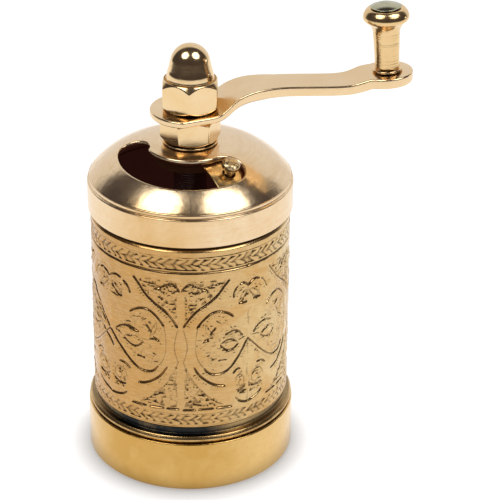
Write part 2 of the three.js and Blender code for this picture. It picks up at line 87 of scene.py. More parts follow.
def build(name, points, faces, body, node, material, slot):
    """A smooth mesh object from points in millimetres, riding on a body in a node's place."""
    mesh = bpy.data.meshes.new(name)
    mesh.from_pydata(np.asarray(points, float) * MM, [], faces)
    mesh.shade_smooth()
    piece = new_object(name, mesh)
    for one in material if isinstance(material, list) else [material]:
        mesh.materials.append(one)
    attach(piece, body)
    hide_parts(node)
    return piece


def rounded(profile, steps=4, guard=0.06):
    """A closed profile of (r, z) or (r, z, radius), with the corners of a given radius rounded."""
    out = []
    count = len(profile)
    for i, corner in enumerate(profile):
        p = np.array(corner[:2], float)
        radius = corner[2] if len(corner) > 2 else 0
        if not radius:
            out.append(p)
            continue
        back = np.array(profile[i - 1][:2], float) - p
        on = np.array(profile[(i + 1) % count][:2], float) - p
        a, b = back / np.linalg.norm(back), on / np.linalg.norm(on)
        half = math.acos(max(-1.0, min(1.0, float(a @ b)))) / 2
        room = 0.45 * min(np.linalg.norm(back), np.linalg.norm(on))
        reach = min(radius / math.tan(half), room)
        out.append(p + a * min(reach + guard, room * 1.05))
        for k in range(steps + 1):
            t = k / steps
            out.append(p + a * reach * (1 - t) ** 2 + b * reach * t ** 2)
        out.append(p + b * min(reach + guard, room * 1.05))
    return [tuple(q) for q in out]


def lofted(rows, angle, closed=True):
    """Points and faces through rows of (radii, z), at given angles about Z. A row on the
    axis becomes a pole. An open loft has no faces between its last row and its first."""
    points, index = [], []
    for r, z in rows:
        if np.max(r) < 1e-9:
            index.append([len(points)] * len(angle))
            points.append((0, 0, z))
        else:
            index.append(list(range(len(points), len(points) + len(angle))))
            points.extend(zip(r * np.cos(angle), r * np.sin(angle), [z] * len(angle)))
    faces = []
    for low, high in zip(index, index[1:] + index[:1] * closed):
        for i in range(len(angle)):
            j = (i + 1) % len(angle)
            face = tuple(dict.fromkeys((low[i], low[j], high[j], high[i])))
            if len(face) > 2:
                faces.append(face)
    return outward(points, faces)


def turned(profile, facets=FINE_DETAIL, closed=True):
    """Points and faces of a profile of (r, z) turned about Z."""
    return lofted(profile, 2 * math.pi * np.arange(facets) / facets, closed)


def outward(points, faces):
    """The same closed mesh with its faces pointing out."""
    points = np.asarray(points, float)
    corners = np.array([(f[0], f[k], f[k + 1]) for f in faces for k in range(1, len(f) - 1)])
    a, b, c = (points[corners[:, k]] for k in range(3))
    if float((a * np.cross(b, c)).sum()) < 0:
        faces = [tuple(reversed(face)) for face in faces]
    return points, faces


def joined(*parts):
    """Several (points, faces) as one, with points that coincide merged."""
    points = np.concatenate([p for p, _ in parts])
    faces, base = [], 0
    for p, f in parts:
        faces.extend(tuple(i + base for i in face) for face in f)
        base += len(p)
    key = np.round(points * 1e4).astype(np.int64)
    _, first, same = np.unique(key, axis=0, return_index=True, return_inverse=True)
    same = same.ravel()
    merged = []
    for face in faces:
        ring = []
        for i in face:
            k = int(same[i])
            if k not in ring:
                ring.append(k)
        if len(ring) > 2:
            merged.append(tuple(ring))
    return points[first], merged


def inside(points, loop):
    """True for each point that lies in a closed loop."""
    x, y = points.T
    hit = np.zeros(len(points), bool)
    for (x1, y1), (x2, y2) in zip(loop, np.roll(loop, -1, 0)):
        if y1 != y2:
            hit ^= ((y1 > y) != (y2 > y)) & (x < (x2 - x1) * (y - y1) / (y2 - y1) + x1)
    return hit


def distance(points, loop):
    """Each point's distance from a closed loop."""
    near = np.full(len(points), 1e9)
    for p, q in zip(loop, np.roll(loop, -1, 0)):
        d = q - p
        t = np.clip((points - p) @ d / max(d @ d, 1e-12), 0, 1)
        near = np.minimum(near, np.linalg.norm(points - p - t[:, None] * d, axis=1))
    return near


def turning(loop):
    """Twice a loop's signed area: above zero when it runs anticlockwise."""
    x, y = loop.T
    return float(np.sum(x * np.roll(y, -1) - np.roll(x, -1) * y))


def inset(loop, depth):
    """A loop moved to its left by a small depth, with mitred corners."""
    along = np.roll(loop, -1, 0) - loop
    along /= np.linalg.norm(along, axis=1)[:, None]
    left = np.stack([-along[:, 1], along[:, 0]], 1)
    before = np.roll(left, 1, 0)
    mitre = (left + before) / np.maximum(1 + (left * before).sum(1), 0.35)[:, None]
    return loop + mitre * depth


LIP_STEPS = (0.0, 0.08, 0.3, 0.62, 1.0, 1.35)   # where a rounded lip is sampled, in lip radii


def sheet(outer, holes, top, bottom, lattice, lip=0.3, under_lip=0.12, open_rim=False):
    """A curved sheet of metal: an outline with holes in plan, between two height functions,
    with rounded edges. With open_rim the outer edge has no wall, for joining to a ring."""
    loops = [outer if turning(outer) > 0 else outer[::-1]]
    loops += [hole if turning(hole) < 0 else hole[::-1] for hole in holes]
    plan, fall, under = [], [], []
    rims, constraints = [], []
    for n, loop in enumerate(loops):
        square = open_rim and n == 0
        for m, step in enumerate(LIP_STEPS[:1] if square else LIP_STEPS):
            start = len(plan)
            plan.extend(inset(loop, step * lip))
            left = max(0.0, 1 - step)
            drop = 0.0 if square else 1 - math.sqrt(max(0.0, 1 - left ** 2))
            fall.extend([drop * lip] * len(loop))
            under.extend([drop * under_lip] * len(loop))
            constraints += [(start + i, start + (i + 1) % len(loop)) for i in range(len(loop))]
            if m == 0:
                rims.append((start, len(loop), square))
    clear = LIP_STEPS[-1] * lip + 0.12
    keep = inside(lattice, loops[0]) & (distance(lattice, loops[0]) > (0.2 if open_rim else clear))
    for hole in loops[1:]:
        keep &= ~inside(lattice, hole) & (distance(lattice, hole) > clear)
    lattice = lattice[keep]
    plan.extend(lattice)
    fall.extend([0.0] * len(lattice))
    under.extend([0.0] * len(lattice))
    flat, _, triangles, origin, _, _ = delaunay_2d_cdt(
        [Vector(p) for p in plan], constraints, [], 0, 1e-7, True)
    place = {old: new for new, olds in enumerate(origin) for old in olds}
    xy = np.array([tuple(p) for p in flat])
    drop = np.array([fall[olds[0]] if olds else 0.0 for olds in origin])
    lift = np.array([under[olds[0]] if olds else 0.0 for olds in origin])
    triangles = np.array(triangles)
    middle = xy[triangles].mean(1)
    good = inside(middle, loops[0])
    for hole in loops[1:]:
        good &= ~inside(middle, hole)
    triangles = triangles[good]
    a, b, c = (xy[triangles[:, i]] for i in range(3))
    ccw = (b - a)[:, 0] * (c - a)[:, 1] - (b - a)[:, 1] * (c - a)[:, 0] > 0
    triangles[~ccw] = triangles[~ccw][:, ::-1]
    count = len(xy)
    points = np.concatenate([
        np.column_stack([xy, top(xy) - drop]), np.column_stack([xy, bottom(xy) + lift])])
    faces = [tuple(t) for t in triangles] + [tuple(t[::-1] + count) for t in triangles]
    for start, length, square in rims:
        if square:
            continue
        for i in range(length):
            p, q = place[start + i], place[start + (i + 1) % length]
            if p != q:
                faces.append((p + count, q + count, q, p))
    used = np.unique(np.concatenate([np.array(f) for f in faces]))
    renumber = np.full(len(points), -1)
    renumber[used] = np.arange(len(used))
    return points[used], [tuple(int(renumber[i]) for i in f) for f in faces]


def polar_lattice(r_from, r_to, step):
    """Points on rings, a step apart both ways."""
    rings = []
    for r in np.arange(r_from, r_to, step):
        count = max(12, int(2 * math.pi * r / step))
        angle = 2 * math.pi * (np.arange(count) + 0.5 * (len(rings) % 2)) / count
        rings.append(np.column_stack([r * np.cos(angle), r * np.sin(angle)]))
    return np.concatenate(rings)


def ring_loop(r, count, centre=(0, 0)):
    """A circle as a closed loop of points."""
    angle = 2 * math.pi * np.arange(count) / count
    return np.column_stack([centre[0] + r * np.cos(angle), centre[1] + r * np.sin(angle)])


def arc(centre, r, start, end, step=0.35):
    """Points on an arc from one angle to another, in degrees."""
    count = max(2, int(abs(math.radians(end - start)) * r / step))
    angle = np.radians(np.linspace(start, end, count + 1))
    return np.column_stack([centre[0] + r * np.cos(angle), centre[1] + r * np.sin(angle)])


def heading(degrees):
    """The unit vector at an angle from +X."""
    return np.array([math.cos(math.radians(degrees)), math.sin(math.radians(degrees))])


def placed(points, matrix):
    """Points moved by a matrix whose lengths are millimetres."""
    return points @ np.array(matrix)[:3, :3].T + np.array(matrix)[:3, 3]


# ---------- Node helpers ----------

class Graph:
    """A node tree that is written as nested calls."""

    def __init__(self, tree):
        self.tree = tree
        tree.nodes.clear()

    def node(self, kind, inputs=None, output=0, **settings):
        made = self.tree.nodes.new(kind)
        for key, value in settings.items():
            setattr(made, key, value)
        for key, value in (inputs or {}).items():
            if isinstance(value, bpy.types.NodeSocket):
                self.tree.links.new(value, made.inputs[key])
            else:
                made.inputs[key].default_value = value
        return made.outputs[output]

    def math(self, operation, a, b=0.0, clamp=False):
        return self.node("ShaderNodeMath", {0: a, 1: b}, operation=operation, use_clamp=clamp)

    def between(self, value, low, high, to_low=0.0, to_high=1.0):
        return self.node("ShaderNodeMapRange", {
            "Value": value, "From Min": low, "From Max": high,
            "To Min": to_low, "To Max": to_high})

    def mix(self, share, a, b):
        """A blend of two colours."""
        a, b = (c if isinstance(c, bpy.types.NodeSocket) else (*c, 1) for c in (a, b))
        return self.node("ShaderNodeMix", {0: share, 6: a, 7: b}, output=2, data_type="RGBA")

    def finish(self, shader, kind="ShaderNodeOutputMaterial"):
        self.tree.links.new(shader, self.tree.nodes.new(kind).inputs["Surface"])

    def noise(self, where, scale, detail=3.0, rough=0.55, distort=0.0):
        return self.node("ShaderNodeTexNoise", {
            "Vector": where, "Scale": scale, "Detail": detail,
            "Roughness": rough, "Distortion": distort})

    def scaled(self, vector, scale):
        return self.node("ShaderNodeVectorMath", {0: vector, 1: scale}, operation="MULTIPLY")


def new_material(name):
    """A material, and the graph to write it in."""
    made = bpy.data.materials.new(name)
    made.use_nodes = True
    return made, Graph(made.node_tree)


def millimetres(g):
    """Object coordinates, in millimetres."""
    place = g.node("ShaderNodeTexCoord", output=3)
    return g.scaled(place, (1 / MM,) * 3)


def rings_vector(g, place, fine):
    """Coordinates that vary along a turned profile and hardly round it."""
    flat = g.scaled(place, (1, 1, 0))
    radius = g.node("ShaderNodeVectorMath", {0: flat}, output=1, operation="LENGTH")
    split = g.node("ShaderNodeSeparateXYZ", {0: place})
    height = split.node.outputs[2]
    return g.node("ShaderNodeCombineXYZ", {
        0: g.math("MULTIPLY", radius, fine), 1: g.math("MULTIPLY", height, fine),
        2: g.math("MULTIPLY", split.node.outputs[0], 0.05)})


PAINTED_SHADE_SIDE = (-0.31, -0.95, 0)      # the side of the mill where a darker reflection is painted in as shade


def painted_shade_share(g, place, radius, start=0.6):
    """0 away from the side where painted shade darkens a round piece, rising to 1 in the middle
    of it: it stands in for a darker reflection on that side.
    """
    toward = g.node("ShaderNodeVectorMath", {0: place, 1: PAINTED_SHADE_SIDE}, output=1,
                    operation="DOT_PRODUCT")
    return g.between(toward, radius * start, radius)


def metal(name, tone, deep, rough, streak=0.0, grain=0.0, lines="rings", spots=0.25,
          spot_scale=0.09, dent=0.0, axis_scale=(1, 1, 1), painted_shade=None, marks=5.5,
          painted_glow=(0, 0, 0, 1)):
    """Polished or worn metal: a tone that wanders to a deeper one, uneven roughness with
    smudges, fine lines from the lathe or the polishing wheel, and slight dents. It can also take
    painted shade, the deeper tone on one side, and a faint painted glow."""
    made, g = new_material(name)
    place = millimetres(g)
    smudge = g.noise(place, spot_scale, 4.0, 0.6, 0.4)
    fine = g.noise(place, spot_scale * 9, 3.0, 0.6)
    if lines == "rings":
        along = rings_vector(g, place, 1.0)
    else:
        along = g.scaled(place, axis_scale)
    lathe_marks = g.noise(along, marks, 5.0, 0.7)
    share = g.between(smudge, 0.5 - spots, 0.5 + spots)
    # painted shade: the deeper tone on the side of the piece where a darker reflection falls
    if painted_shade:
        share = g.math("MULTIPLY", g.math("ADD", share, 0.45), painted_shade_share(g, place, *painted_shade))
        share = g.math("ADD", share, g.between(smudge, 0.5, 0.5 + spots, 0.0, 0.3), clamp=True)
    tint = g.mix(share, tone, deep)
    tint = g.mix(g.between(fine, 0.35, 0.75, 0.0, 0.22), tint, deep)
    tint = g.mix(g.between(lathe_marks, 0.4, 0.75, 0.0, min(0.5, streak * 0.35)), tint, deep)
    uneven = g.math("ADD", g.between(smudge, 0.3, 0.75, rough * 0.75, rough * 1.35),
                    g.between(fine, 0.3, 0.8, 0.0, rough * 0.35))
    bumps = g.math("ADD", g.math("MULTIPLY", lathe_marks, streak),
                   g.math("MULTIPLY", g.noise(place, 2.2, 4.0, 0.6), grain))
    bumps = g.math("ADD", bumps, g.math("MULTIPLY", g.noise(place, 0.22, 2.0, 0.5), dent))
    normal = g.node("ShaderNodeBump", {"Strength": 1.0, "Distance": 0.01 * MM, "Height": bumps})
    shader = g.node("ShaderNodeBsdfPrincipled", {
        "Base Color": tint, "Roughness": uneven, "Normal": normal, "Metallic": 1.0,
        "Emission Color": painted_glow, "Emission Strength": 1.0})
    g.finish(shader)
    return made


PALE = (0.84, 0.645, 0.40)
# painted shade darkens the cup's front-left side
CUP_BRASS = metal("cup brass", (0.74, 0.50, 0.205), (0.58, 0.34, 0.09), 0.16, 0.5, 0.5, spots=0.3,
                  painted_shade=(26, 0.5))
BEAD_BRASS = metal("bead brass", (0.66, 0.45, 0.19), (0.42, 0.25, 0.09), 0.2, 0.8, 0.6, spots=0.2,
                   spot_scale=0.3)
# painted shade darkens the band's front-left side; the dome keeps clear of it
LID_BRASS = metal("lid brass", (0.84, 0.655, 0.43), (0.70, 0.45, 0.20), 0.18, 1.5, 0.8, spots=0.25,
                  dent=12.0, painted_shade=(25, 0.84), marks=3.5)
NUT_BRASS = metal("nut brass", PALE, (0.80, 0.56, 0.27), 0.14, 0.4, 0.5, spots=0.3, spot_scale=0.2,
                  dent=3.0)
ARM_BRASS = metal("arm brass", PALE, (0.78, 0.56, 0.31), 0.17, 1.2, 0.8, lines="straight",
                  axis_scale=(0.15, 1.3, 1.3), spots=0.3, dent=3.0)
KNOB_BRASS = metal("knob brass", (0.84, 0.62, 0.35), (0.74, 0.5, 0.22), 0.16, 2.0, 0.5, spots=0.3,
                   lines="straight", axis_scale=(0.08, 0.08, 1.0))
PEG_BRASS = metal("peg brass", (0.80, 0.62, 0.38), (0.55, 0.4, 0.2), 0.22, 0.3, 6.0, spots=0.2,
                  spot_scale=0.9)
# a faint painted glow lifts the dark parts seen inside the mill
DARK_BRASS = metal("dark brass", (0.30, 0.19, 0.08), (0.13, 0.08, 0.035), 0.42, 1.0, 2.0,
                   painted_glow=(0.010, 0.004, 0.002, 1))
SHUTTER_BRASS = metal("shutter brass", (0.84, 0.62, 0.31), (0.66, 0.44, 0.18), 0.2, 0.8, 0.8,
                      spot_scale=0.2)
# painted shade and a faint painted glow for the inside of the mill, under the lid and in the bore
INSIDE_SHADED = metal("inside painted shade and glow", (0.34, 0.13, 0.09), (0.14, 0.05, 0.04), 0.5, 0.6, 1.5,
             painted_glow=(0.014, 0.004, 0.003, 1))
# painted shade: near black in the groove under the body on the front-left, brass at the sides
GROOVE_SHADED = metal("groove brass with painted shade", (0.40, 0.27, 0.12), (0.022, 0.023, 0.024), 0.24, 1.0, 1.0,
                     painted_shade=(24, 0.68))
STEEL = metal("steel", (0.52, 0.52, 0.53), (0.33, 0.33, 0.34), 0.25, 1.2, 0.6)
CAP_STEEL = metal("rivet steel", (0.56, 0.54, 0.38), (0.40, 0.39, 0.26), 0.14, 0.4, 0.8,
                  spot_scale=0.5)
IRON = metal("cast iron", (0.13, 0.12, 0.115), (0.07, 0.06, 0.055), 0.55, 0.4, 5.0)


def engraved_metal():
    """Brass with dark patina in the engraving, worn bright on the raised parts, and with painted
    light: lighter on the right, painted shade on the front-left and on the neck under the lid.
    """
    made, g = new_material("engraved brass")
    place = millimetres(g)
    depth = g.node("ShaderNodeAttribute", output=2, attribute_name="engraved",
                   attribute_type="GEOMETRY")
    patina = g.noise(place, 0.09, 4.0, 0.6, 0.5)
    mottle = g.noise(place, 0.8, 4.0, 0.6)
    speck = g.noise(place, 4.0, 3.0, 0.6)
    brushed = g.noise(g.scaled(place, (0.3, 0.3, 2.6)), 1.4, 4.0, 0.6)
    side = g.node("ShaderNodeSeparateXYZ", {0: place})
    # painted light: the right side of the body is lighter and the left darker, as the light falls
    right = g.between(side, -18, 20)
    tint = g.mix(right, (0.49, 0.28, 0.10), (0.68, 0.49, 0.235))
    tint = g.mix(g.between(patina, 0.42, 0.66, 0.0, 0.8), tint, (0.56, 0.305, 0.09))
    # painted shade darkens the body's front-left side
    tint = g.mix(g.math("MULTIPLY", painted_shade_share(g, place, 25), 0.4), tint, (0.50, 0.26, 0.075))
    tint = g.mix(g.between(mottle, 0.45, 0.75, 0.0, 0.35), tint, (0.44, 0.25, 0.09))
    tint = g.mix(g.between(speck, 0.5, 0.8, 0.0, 0.15), tint, (0.36, 0.20, 0.07))
    tint = g.mix(g.between(brushed, 0.45, 0.75, 0.0, 0.35), tint, (0.84, 0.62, 0.33))
    # dark patina in the cuts, and painted shade on the neck that enters the lid
    tint = g.mix(g.between(depth, 0.05, 1.0), tint, (0.075, 0.038, 0.014))
    uneven = g.math("ADD", g.between(mottle, 0.3, 0.8, 0.17, 0.27),
                    g.between(depth, 0.3, 1.0, 0.0, 0.2))
    bumps = g.math("ADD", g.math("MULTIPLY", mottle, 1.6), g.math("MULTIPLY", speck, 0.35))
    bumps = g.math("ADD", bumps, g.math("MULTIPLY", brushed, 1.0))
    normal = g.node("ShaderNodeBump", {"Strength": 1.0, "Distance": 0.012 * MM, "Height": bumps})
    shader = g.node("ShaderNodeBsdfPrincipled", {
        "Base Color": tint, "Roughness": uneven, "Normal": normal, "Metallic": 1.0})
    g.finish(shader)
    return made


ENGRAVED = engraved_metal()


# ---------- Cup ----------

def cup():
    wall, floor = 1.1, 1.2
    bore, top = CUP_R - wall, CUP_HIGH.z
    profile = rounded([
        (0, 0), (CUP_R - 0.55, 0, 0.3), (CUP_R, 0.7, 0.6),
        (CUP_R, top, 0.35), (bore, top, 0.25), (bore, floor, 1.0), (0, floor)])
    return build("cup", *turned(profile), "cup", "base_cup", CUP_BRASS,
                 "polished_brass")


cup()


# ---------- Bead ring under the body ----------

def bead_ring():
    seat = CUP_HIGH.z + 0.3
    spigot, sleeve = CUP_R - 1.4, BODY_R - 1.65
    groove, ledge = BODY_R - 0.6, BODY_LOW.z - 0.3
    profile = rounded([
        (spigot - 1.6, RING_LOW.z, 0.2), (spigot, RING_LOW.z, 0.3), (spigot, seat, 0.1),
        (CUP_R - 0.55, seat, 0.15), (CUP_R - 0.1, seat + 0.85, 0.7), (CUP_R - 0.7, seat + 1.6, 0.35),
        (groove, seat + 1.8, 0.25), (groove, ledge, 0.1),
        (sleeve, ledge, 0.1), (sleeve, RING_HIGH.z, 0.2), (spigot - 2.6, RING_HIGH.z, 0.2),
        (spigot - 2.6, 13.2, 0.4)])
    piece = build("bead_ring", *turned(profile), "housing", "spigot_ring",
                  [BEAD_BRASS, GROOVE_SHADED], "polished_brass")
    # the groove's faces take the groove material, with its painted shade
    for polygon in piece.data.polygons:
        c = polygon.center / MM
        if c.z > seat + 1.55 and math.hypot(c.x, c.y) < CUP_R - 0.75:
            polygon.material_index = 1
    return piece


bead_ring()


# ---------- Engraved body ----------

# The engraving repeats four times round the tube. Each repeat is mirrored about the
# hourglass on its axis, and drawn here for one half: degrees from that axis, and height.
AXES = ((-95.7, 47.5, 40.0), (-10.7, 45.0, 45.0), (79.3, 45.0, 45.0), (169.3, 45.0, 47.5))
SEAMS = (-55.7, 124.3)          # faint upright seams, in degrees
HALF = 45.0
GRID = 0.165                    # spacing of the engraved mesh
LINE, FINE_LINE = 0.30, 0.22    # half widths of a cut
DEEP_CUT, SHALLOW_CUT = 0.38, 0.27
ROLL_HALF, ROLL_DEPTH = 1.0, 0.16       # how the metal rolls off beside a strong cut

STRONG = (
    # upper panel's side, and its top edge in pieces
    ((28.4, 57.4), (24.6, 55.6), (20.4, 53.2), (14.4, 51.1), (9.0, 49.6), (5.6, 47.9), (1.6, 45.3)),
    # lower panel's base
    ((1.0, 22.45), (8.5, 22.5)), ((10.0, 22.5), (19.0, 22.45)), ((20.5, 22.4), (30.5, 22.2)),
    # leaf beside the panel's stem
    ((0.6, 55.1), (2.6, 56.2), (5.2, 57.1), (9.5, 56.1), (16.0, 54.9)),
    # medallion: arch, inner bowl and outer bowl
    ((9.2, 45.2), (12.8, 47.3), (16.4, 48.7), (19.6, 49.3), (23.2, 49.2), (26.8, 48.7), (31.0, 47.4)),
    ((12.8, 34.1), (15.8, 32.6), (19.4, 32.0), (24.4, 32.1), (28.4, 33.0), (34.0, 35.2),
     (39.6, 37.7), (45.0, 40.2)),
    ((7.6, 34.2), (11.0, 31.9), (15.6, 30.1), (20.4, 28.9), (26.0, 28.4)),
    # curls inside the medallion
    ((25.3, 42.5), (28.3, 42.9), (31.6, 43.4), (36.6, 42.8), (40.8, 41.3)),
    ((22.4, 39.9), (25.0, 38.6), (28.4, 38.0), (32.2, 38.5), (35.4, 39.6)),
    ((20.6, 45.0), (18.6, 44.0), (16.8, 42.9)), ((16.5, 42.2), (13.2, 41.3)),
    # cusped arch between two panels
    ((30.4, 52.4), (31.6, 54.0), (35.2, 55.3)), ((36.6, 55.5), (40.4, 55.8), (43.4, 55.3),
                                               (45.0, 54.6)),
    ((44.0, 53.2), (41.2, 51.6), (38.6, 50.5), (35.6, 50.6)),
    # scroll at the foot between two panels
    ((31.0, 31.5), (34.2, 32.4), (38.2, 32.5)), ((34.0, 26.6), (37.6, 26.0), (42.0, 26.6), (44.0, 27.6)),
    ((45.0, 22.5), (40.6, 22.7), (35.4, 23.6), (33.6, 24.5)),
)
FAINT = (
    ((4.0, 57.5), (9.0, 57.6)), ((11.0, 57.6), (14.0, 57.5)), ((16.5, 57.6), (21.0, 57.5)),
    ((22.4, 39.9), (25.4, 41.0), (29.2, 41.2), (33.0, 40.6), (35.4, 39.6)),
    ((14.0, 46.2), (16.4, 44.6), (18.6, 42.2), (16.4, 42.4), (14.0, 44.2), (14.0, 46.2)),
    ((23.6, 45.7), (20.0, 46.9)), ((9.6, 45.4), (8.2, 42.0), (8.4, 38.0), (10.0, 36.0), (12.8, 34.1)),
    ((44.0, 53.2), (41.6, 53.6), (38.4, 52.6), (35.6, 50.6)),
    ((1.5, 44.8), (3.6, 41.5), (3.8, 38.6), (1.6, 35.6)),
    ((33.0, 28.6), (34.4, 30.4), (37.8, 31.0), (41.0, 30.0), (42.2, 28.6), (41.0, 27.4),
     (38.0, 27.2), (36.4, 28.4), (37.2, 29.4), (39.0, 29.2)),
    ((1.2, 36.0), (3.0, 33.6), (7.0, 30.2), (12.0, 27.4), (19.0, 24.6), (25.0, 23.0)),
)
OVER = (   # the ribbon that runs on over the crossing between two medallions
    ((45.0, 40.2), (50.0, 42.6), (55.0, 45.0), (60.0, 47.4)),
    ((42.5, 35.8), (47.0, 37.6), (55.0, 40.6), (62.0, 43.2), (66.0, 44.6)),
)


def smooth_line(points, step=0.07):
    """A polyline through given points, rounded and evenly sampled."""
    p = np.array(points, float)
    if len(p) > 2:
        for _ in range(3):
            q = 0.75 * p[:-1] + 0.25 * p[1:]
            r = 0.25 * p[:-1] + 0.75 * p[1:]
            mid = np.stack([q, r], 1).reshape(-1, 2)
            p = np.concatenate([p[:1], mid, p[-1:]])
    reach = np.concatenate([[0], np.cumsum(np.linalg.norm(np.diff(p, axis=0), axis=1))])
    at = np.linspace(0, reach[-1], max(2, int(reach[-1] / step)))
    return np.column_stack([np.interp(at, reach, p[:, k]) for k in range(2)])


class Relief:
    """Maps over the tube's unrolled surface, in millimetres: how deep the engraving is cut,
    how far the metal rolls off beside it, and how far chased leaves stand up."""

    def __init__(self, bottom, top):
        self.columns = int(round(2 * math.pi * BODY_R / GRID / 8)) * 8
        self.rows = int(round((top - bottom) / GRID)) + 1
        self.bottom, self.top = bottom, top
        self.dx = 2 * math.pi * BODY_R / self.columns
        self.dz = (top - bottom) / (self.rows - 1)
        self.z = np.linspace(bottom, top, self.rows)[:, None]
        self.cut = np.zeros((self.rows, self.columns))
        self.roll = np.zeros_like(self.cut)
        self.rise = np.zeros_like(self.cut)
        self.drawn, self.side = self.drawing_space()

    def drawing_space(self):
        """For every column, how far it is from its own hourglass axis, in drawn degrees."""
        azimuths = 360 * np.arange(self.columns) / self.columns
        drawn, side = np.full(self.columns, HALF), np.ones(self.columns)
        for centre, left, right in AXES:
            off = (azimuths - centre + 180) % 360 - 180
            width = np.where(off > 0, right, left)
            far = 30 + (np.abs(off) - 30) * (HALF - 30) / (width - 30)
            near = np.where(np.abs(off) <= 30, np.abs(off), far)
            mine = np.abs(off) <= width
            drawn[mine], side[mine] = near[mine], np.sign(off[mine])
        return drawn, side

    def window(self, x, z, reach):
        """The cells within some rows and columns of a place, and their distances from it."""
        i, j = int(round((z - self.bottom) / self.dz)), int(round(x / self.dx))
        rows = np.arange(max(0, i - reach), min(self.rows, i + reach + 1))
        columns = np.arange(j - reach, j + reach + 1)
        dz = (rows * self.dz + self.bottom - z)[:, None]
        return np.ix_(rows, columns % self.columns), (columns * self.dx - x)[None], dz

    def stamp(self, field, line, half, depth, taper=0.5):
        """Presses a smooth groove along a sampled line of (arc length, height) into a map."""
        count = len(line)
        reach = int(half * 1.1 / self.dx) + 1
        ends = np.minimum(np.arange(count), np.arange(count)[::-1]) * 0.07
        share = np.clip(0.35 + ends / max(taper, 1e-6), 0, 1)
        for (x, z), s in zip(line, share):
            where, dx, dz = self.window(x, z, reach)
            d = np.hypot(dz, dx) / (half * (0.6 + 0.4 * s))
            shape = np.clip(1 - d, 0, 1)
            shape = np.minimum(1.25 * shape * shape * (3 - 2 * shape), 1) * depth * s
            field[where] = np.maximum(field[where], shape)

    def carve(self, line, half, depth, taper=0.5):
        self.stamp(self.cut, line, half, depth, taper)

    def strike(self, line, depth):
        """A strong cut, with the metal rolling off on both sides of it."""
        self.carve(line, LINE, depth)
        self.stamp(self.roll, line, ROLL_HALF, ROLL_DEPTH, taper=1.5)

    def dot(self, x, z, r, depth):
        self.stamp(self.cut, np.array([[x, z]]), r, depth / 0.35)

    def boss(self, x, z, long, short, lean, height):
        """Raises a rounded leaf, long one way and short the other."""
        where, dx, dz = self.window(x, z, int(long / self.dx) + 2)
        c, s = math.cos(lean), math.sin(lean)
        d = ((dx * c + dz * s) / long) ** 2 + ((dz * c - dx * s) / short) ** 2
        shape = np.sqrt(np.clip(1 - d, 0, 1)) * height
        self.rise[where] = np.maximum(self.rise[where], shape)

    def within(self, loop):
        """A soft mask of a drawn loop, on every repeat and its mirror image."""
        spots = np.column_stack([np.tile(self.drawn, self.rows), np.repeat(self.z, self.columns)])
        return blur(inside(spots, np.array(loop, float)).reshape(self.cut.shape) * 1.0, 2)


def blur(field, times):
    """A map softened, closing round the tube."""
    for _ in range(times):
        field = (np.roll(field, 1, 1) + 2 * field + np.roll(field, -1, 1)) / 4
        padded = np.pad(field, ((1, 1), (0, 0)), "edge")
        field = (padded[:-2] + 2 * field + padded[2:]) / 4
    return field


def soft_noise(shape, cell):
    """Smooth noise that closes round the tube, from a coarse random grid."""
    rows, columns = shape
    coarse_rows = max(2, int(rows / cell) + 3)
    coarse_columns = max(4, int(columns / cell))
    coarse = RNG.normal(0, 1, (coarse_rows, coarse_columns))
    r = np.linspace(0, coarse_rows - 1.001, rows)
    c = np.arange(columns) * coarse_columns / columns
    i, j = r.astype(int), c.astype(int)
    u, v = (r - i)[:, None], (c - j)[None]
    u, v = u * u * (3 - 2 * u), v * v * (3 - 2 * v)
    j2 = (j + 1) % coarse_columns
    low = coarse[i][:, j] * (1 - v) + coarse[i][:, j2] * v
    high = coarse[i + 1][:, j] * (1 - v) + coarse[i + 1][:, j2] * v
    return low * (1 - u) + high * u


def azimuth(axis, side, offset):
    """Azimuth of a drawn offset, stretched or squeezed past 30 degrees to meet the next repeat."""
    centre, left, right = axis
    width = right if side > 0 else left
    if offset > 30:
        offset = 30 + (offset - 30) * (width - 30) / (HALF - 30)
    return centre + side * offset


def unroll(points, axis, side, wobble):
    """Drawn points as a sampled line on the unrolled tube, with a little of the hand in it."""
    line = [(math.radians(azimuth(axis, side, a)) * BODY_R, z) for a, z in points]
    line = smooth_line(line)
    sway = np.cumsum(RNG.normal(0, wobble, (len(line), 2)), 0)
    sway -= np.linspace(0, 1, len(line))[:, None] * sway[-1]
    line = line + sway * 0.25 + RNG.normal(0, 0.05, 2)
    line[:, 0] %= 2 * math.pi * BODY_R
    return line


# Loops of the sunk grounds, drawn like the lines above.
UPPER_PANEL = ((1.9, 57.2), (26.0, 57.0), (20.6, 53.9), (14.4, 51.8), (9.0, 50.2), (5.4, 48.4),
               (1.9, 45.8))
LOWER_PANEL = ((1.9, 36.0), (4.0, 33.8), (8.0, 30.4), (13.0, 27.6), (20.0, 25.0), (26.0, 23.4),
               (1.9, 23.0))
MEDALLION = ((9.4, 43.6), (12.8, 46.4), (17.0, 48.0), (22.0, 48.5), (28.0, 47.4), (33.0, 45.4),
             (38.0, 43.6), (45.0, 41.6), (38.0, 38.4), (33.0, 36.2), (28.0, 34.2), (23.0, 33.2),
             (18.0, 33.2), (13.0, 35.2), (9.6, 37.6), (8.6, 40.6))
CORNER_LEAF = ((34.0, 31.6), (38.0, 31.9), (44.0, 31.0), (44.0, 25.0), (38.0, 24.4), (34.4, 26.2))
CUSP_LEAF = ((35.0, 54.4), (39.0, 55.2), (44.5, 54.0), (44.5, 50.4), (39.0, 50.2), (35.4, 51.4))
GROUNDS = ((UPPER_PANEL, 1.0), (LOWER_PANEL, 1.0), (MEDALLION, 0.55), (CORNER_LEAF, 0.75),
           (CUSP_LEAF, 0.75))       # each with how strongly it is worked


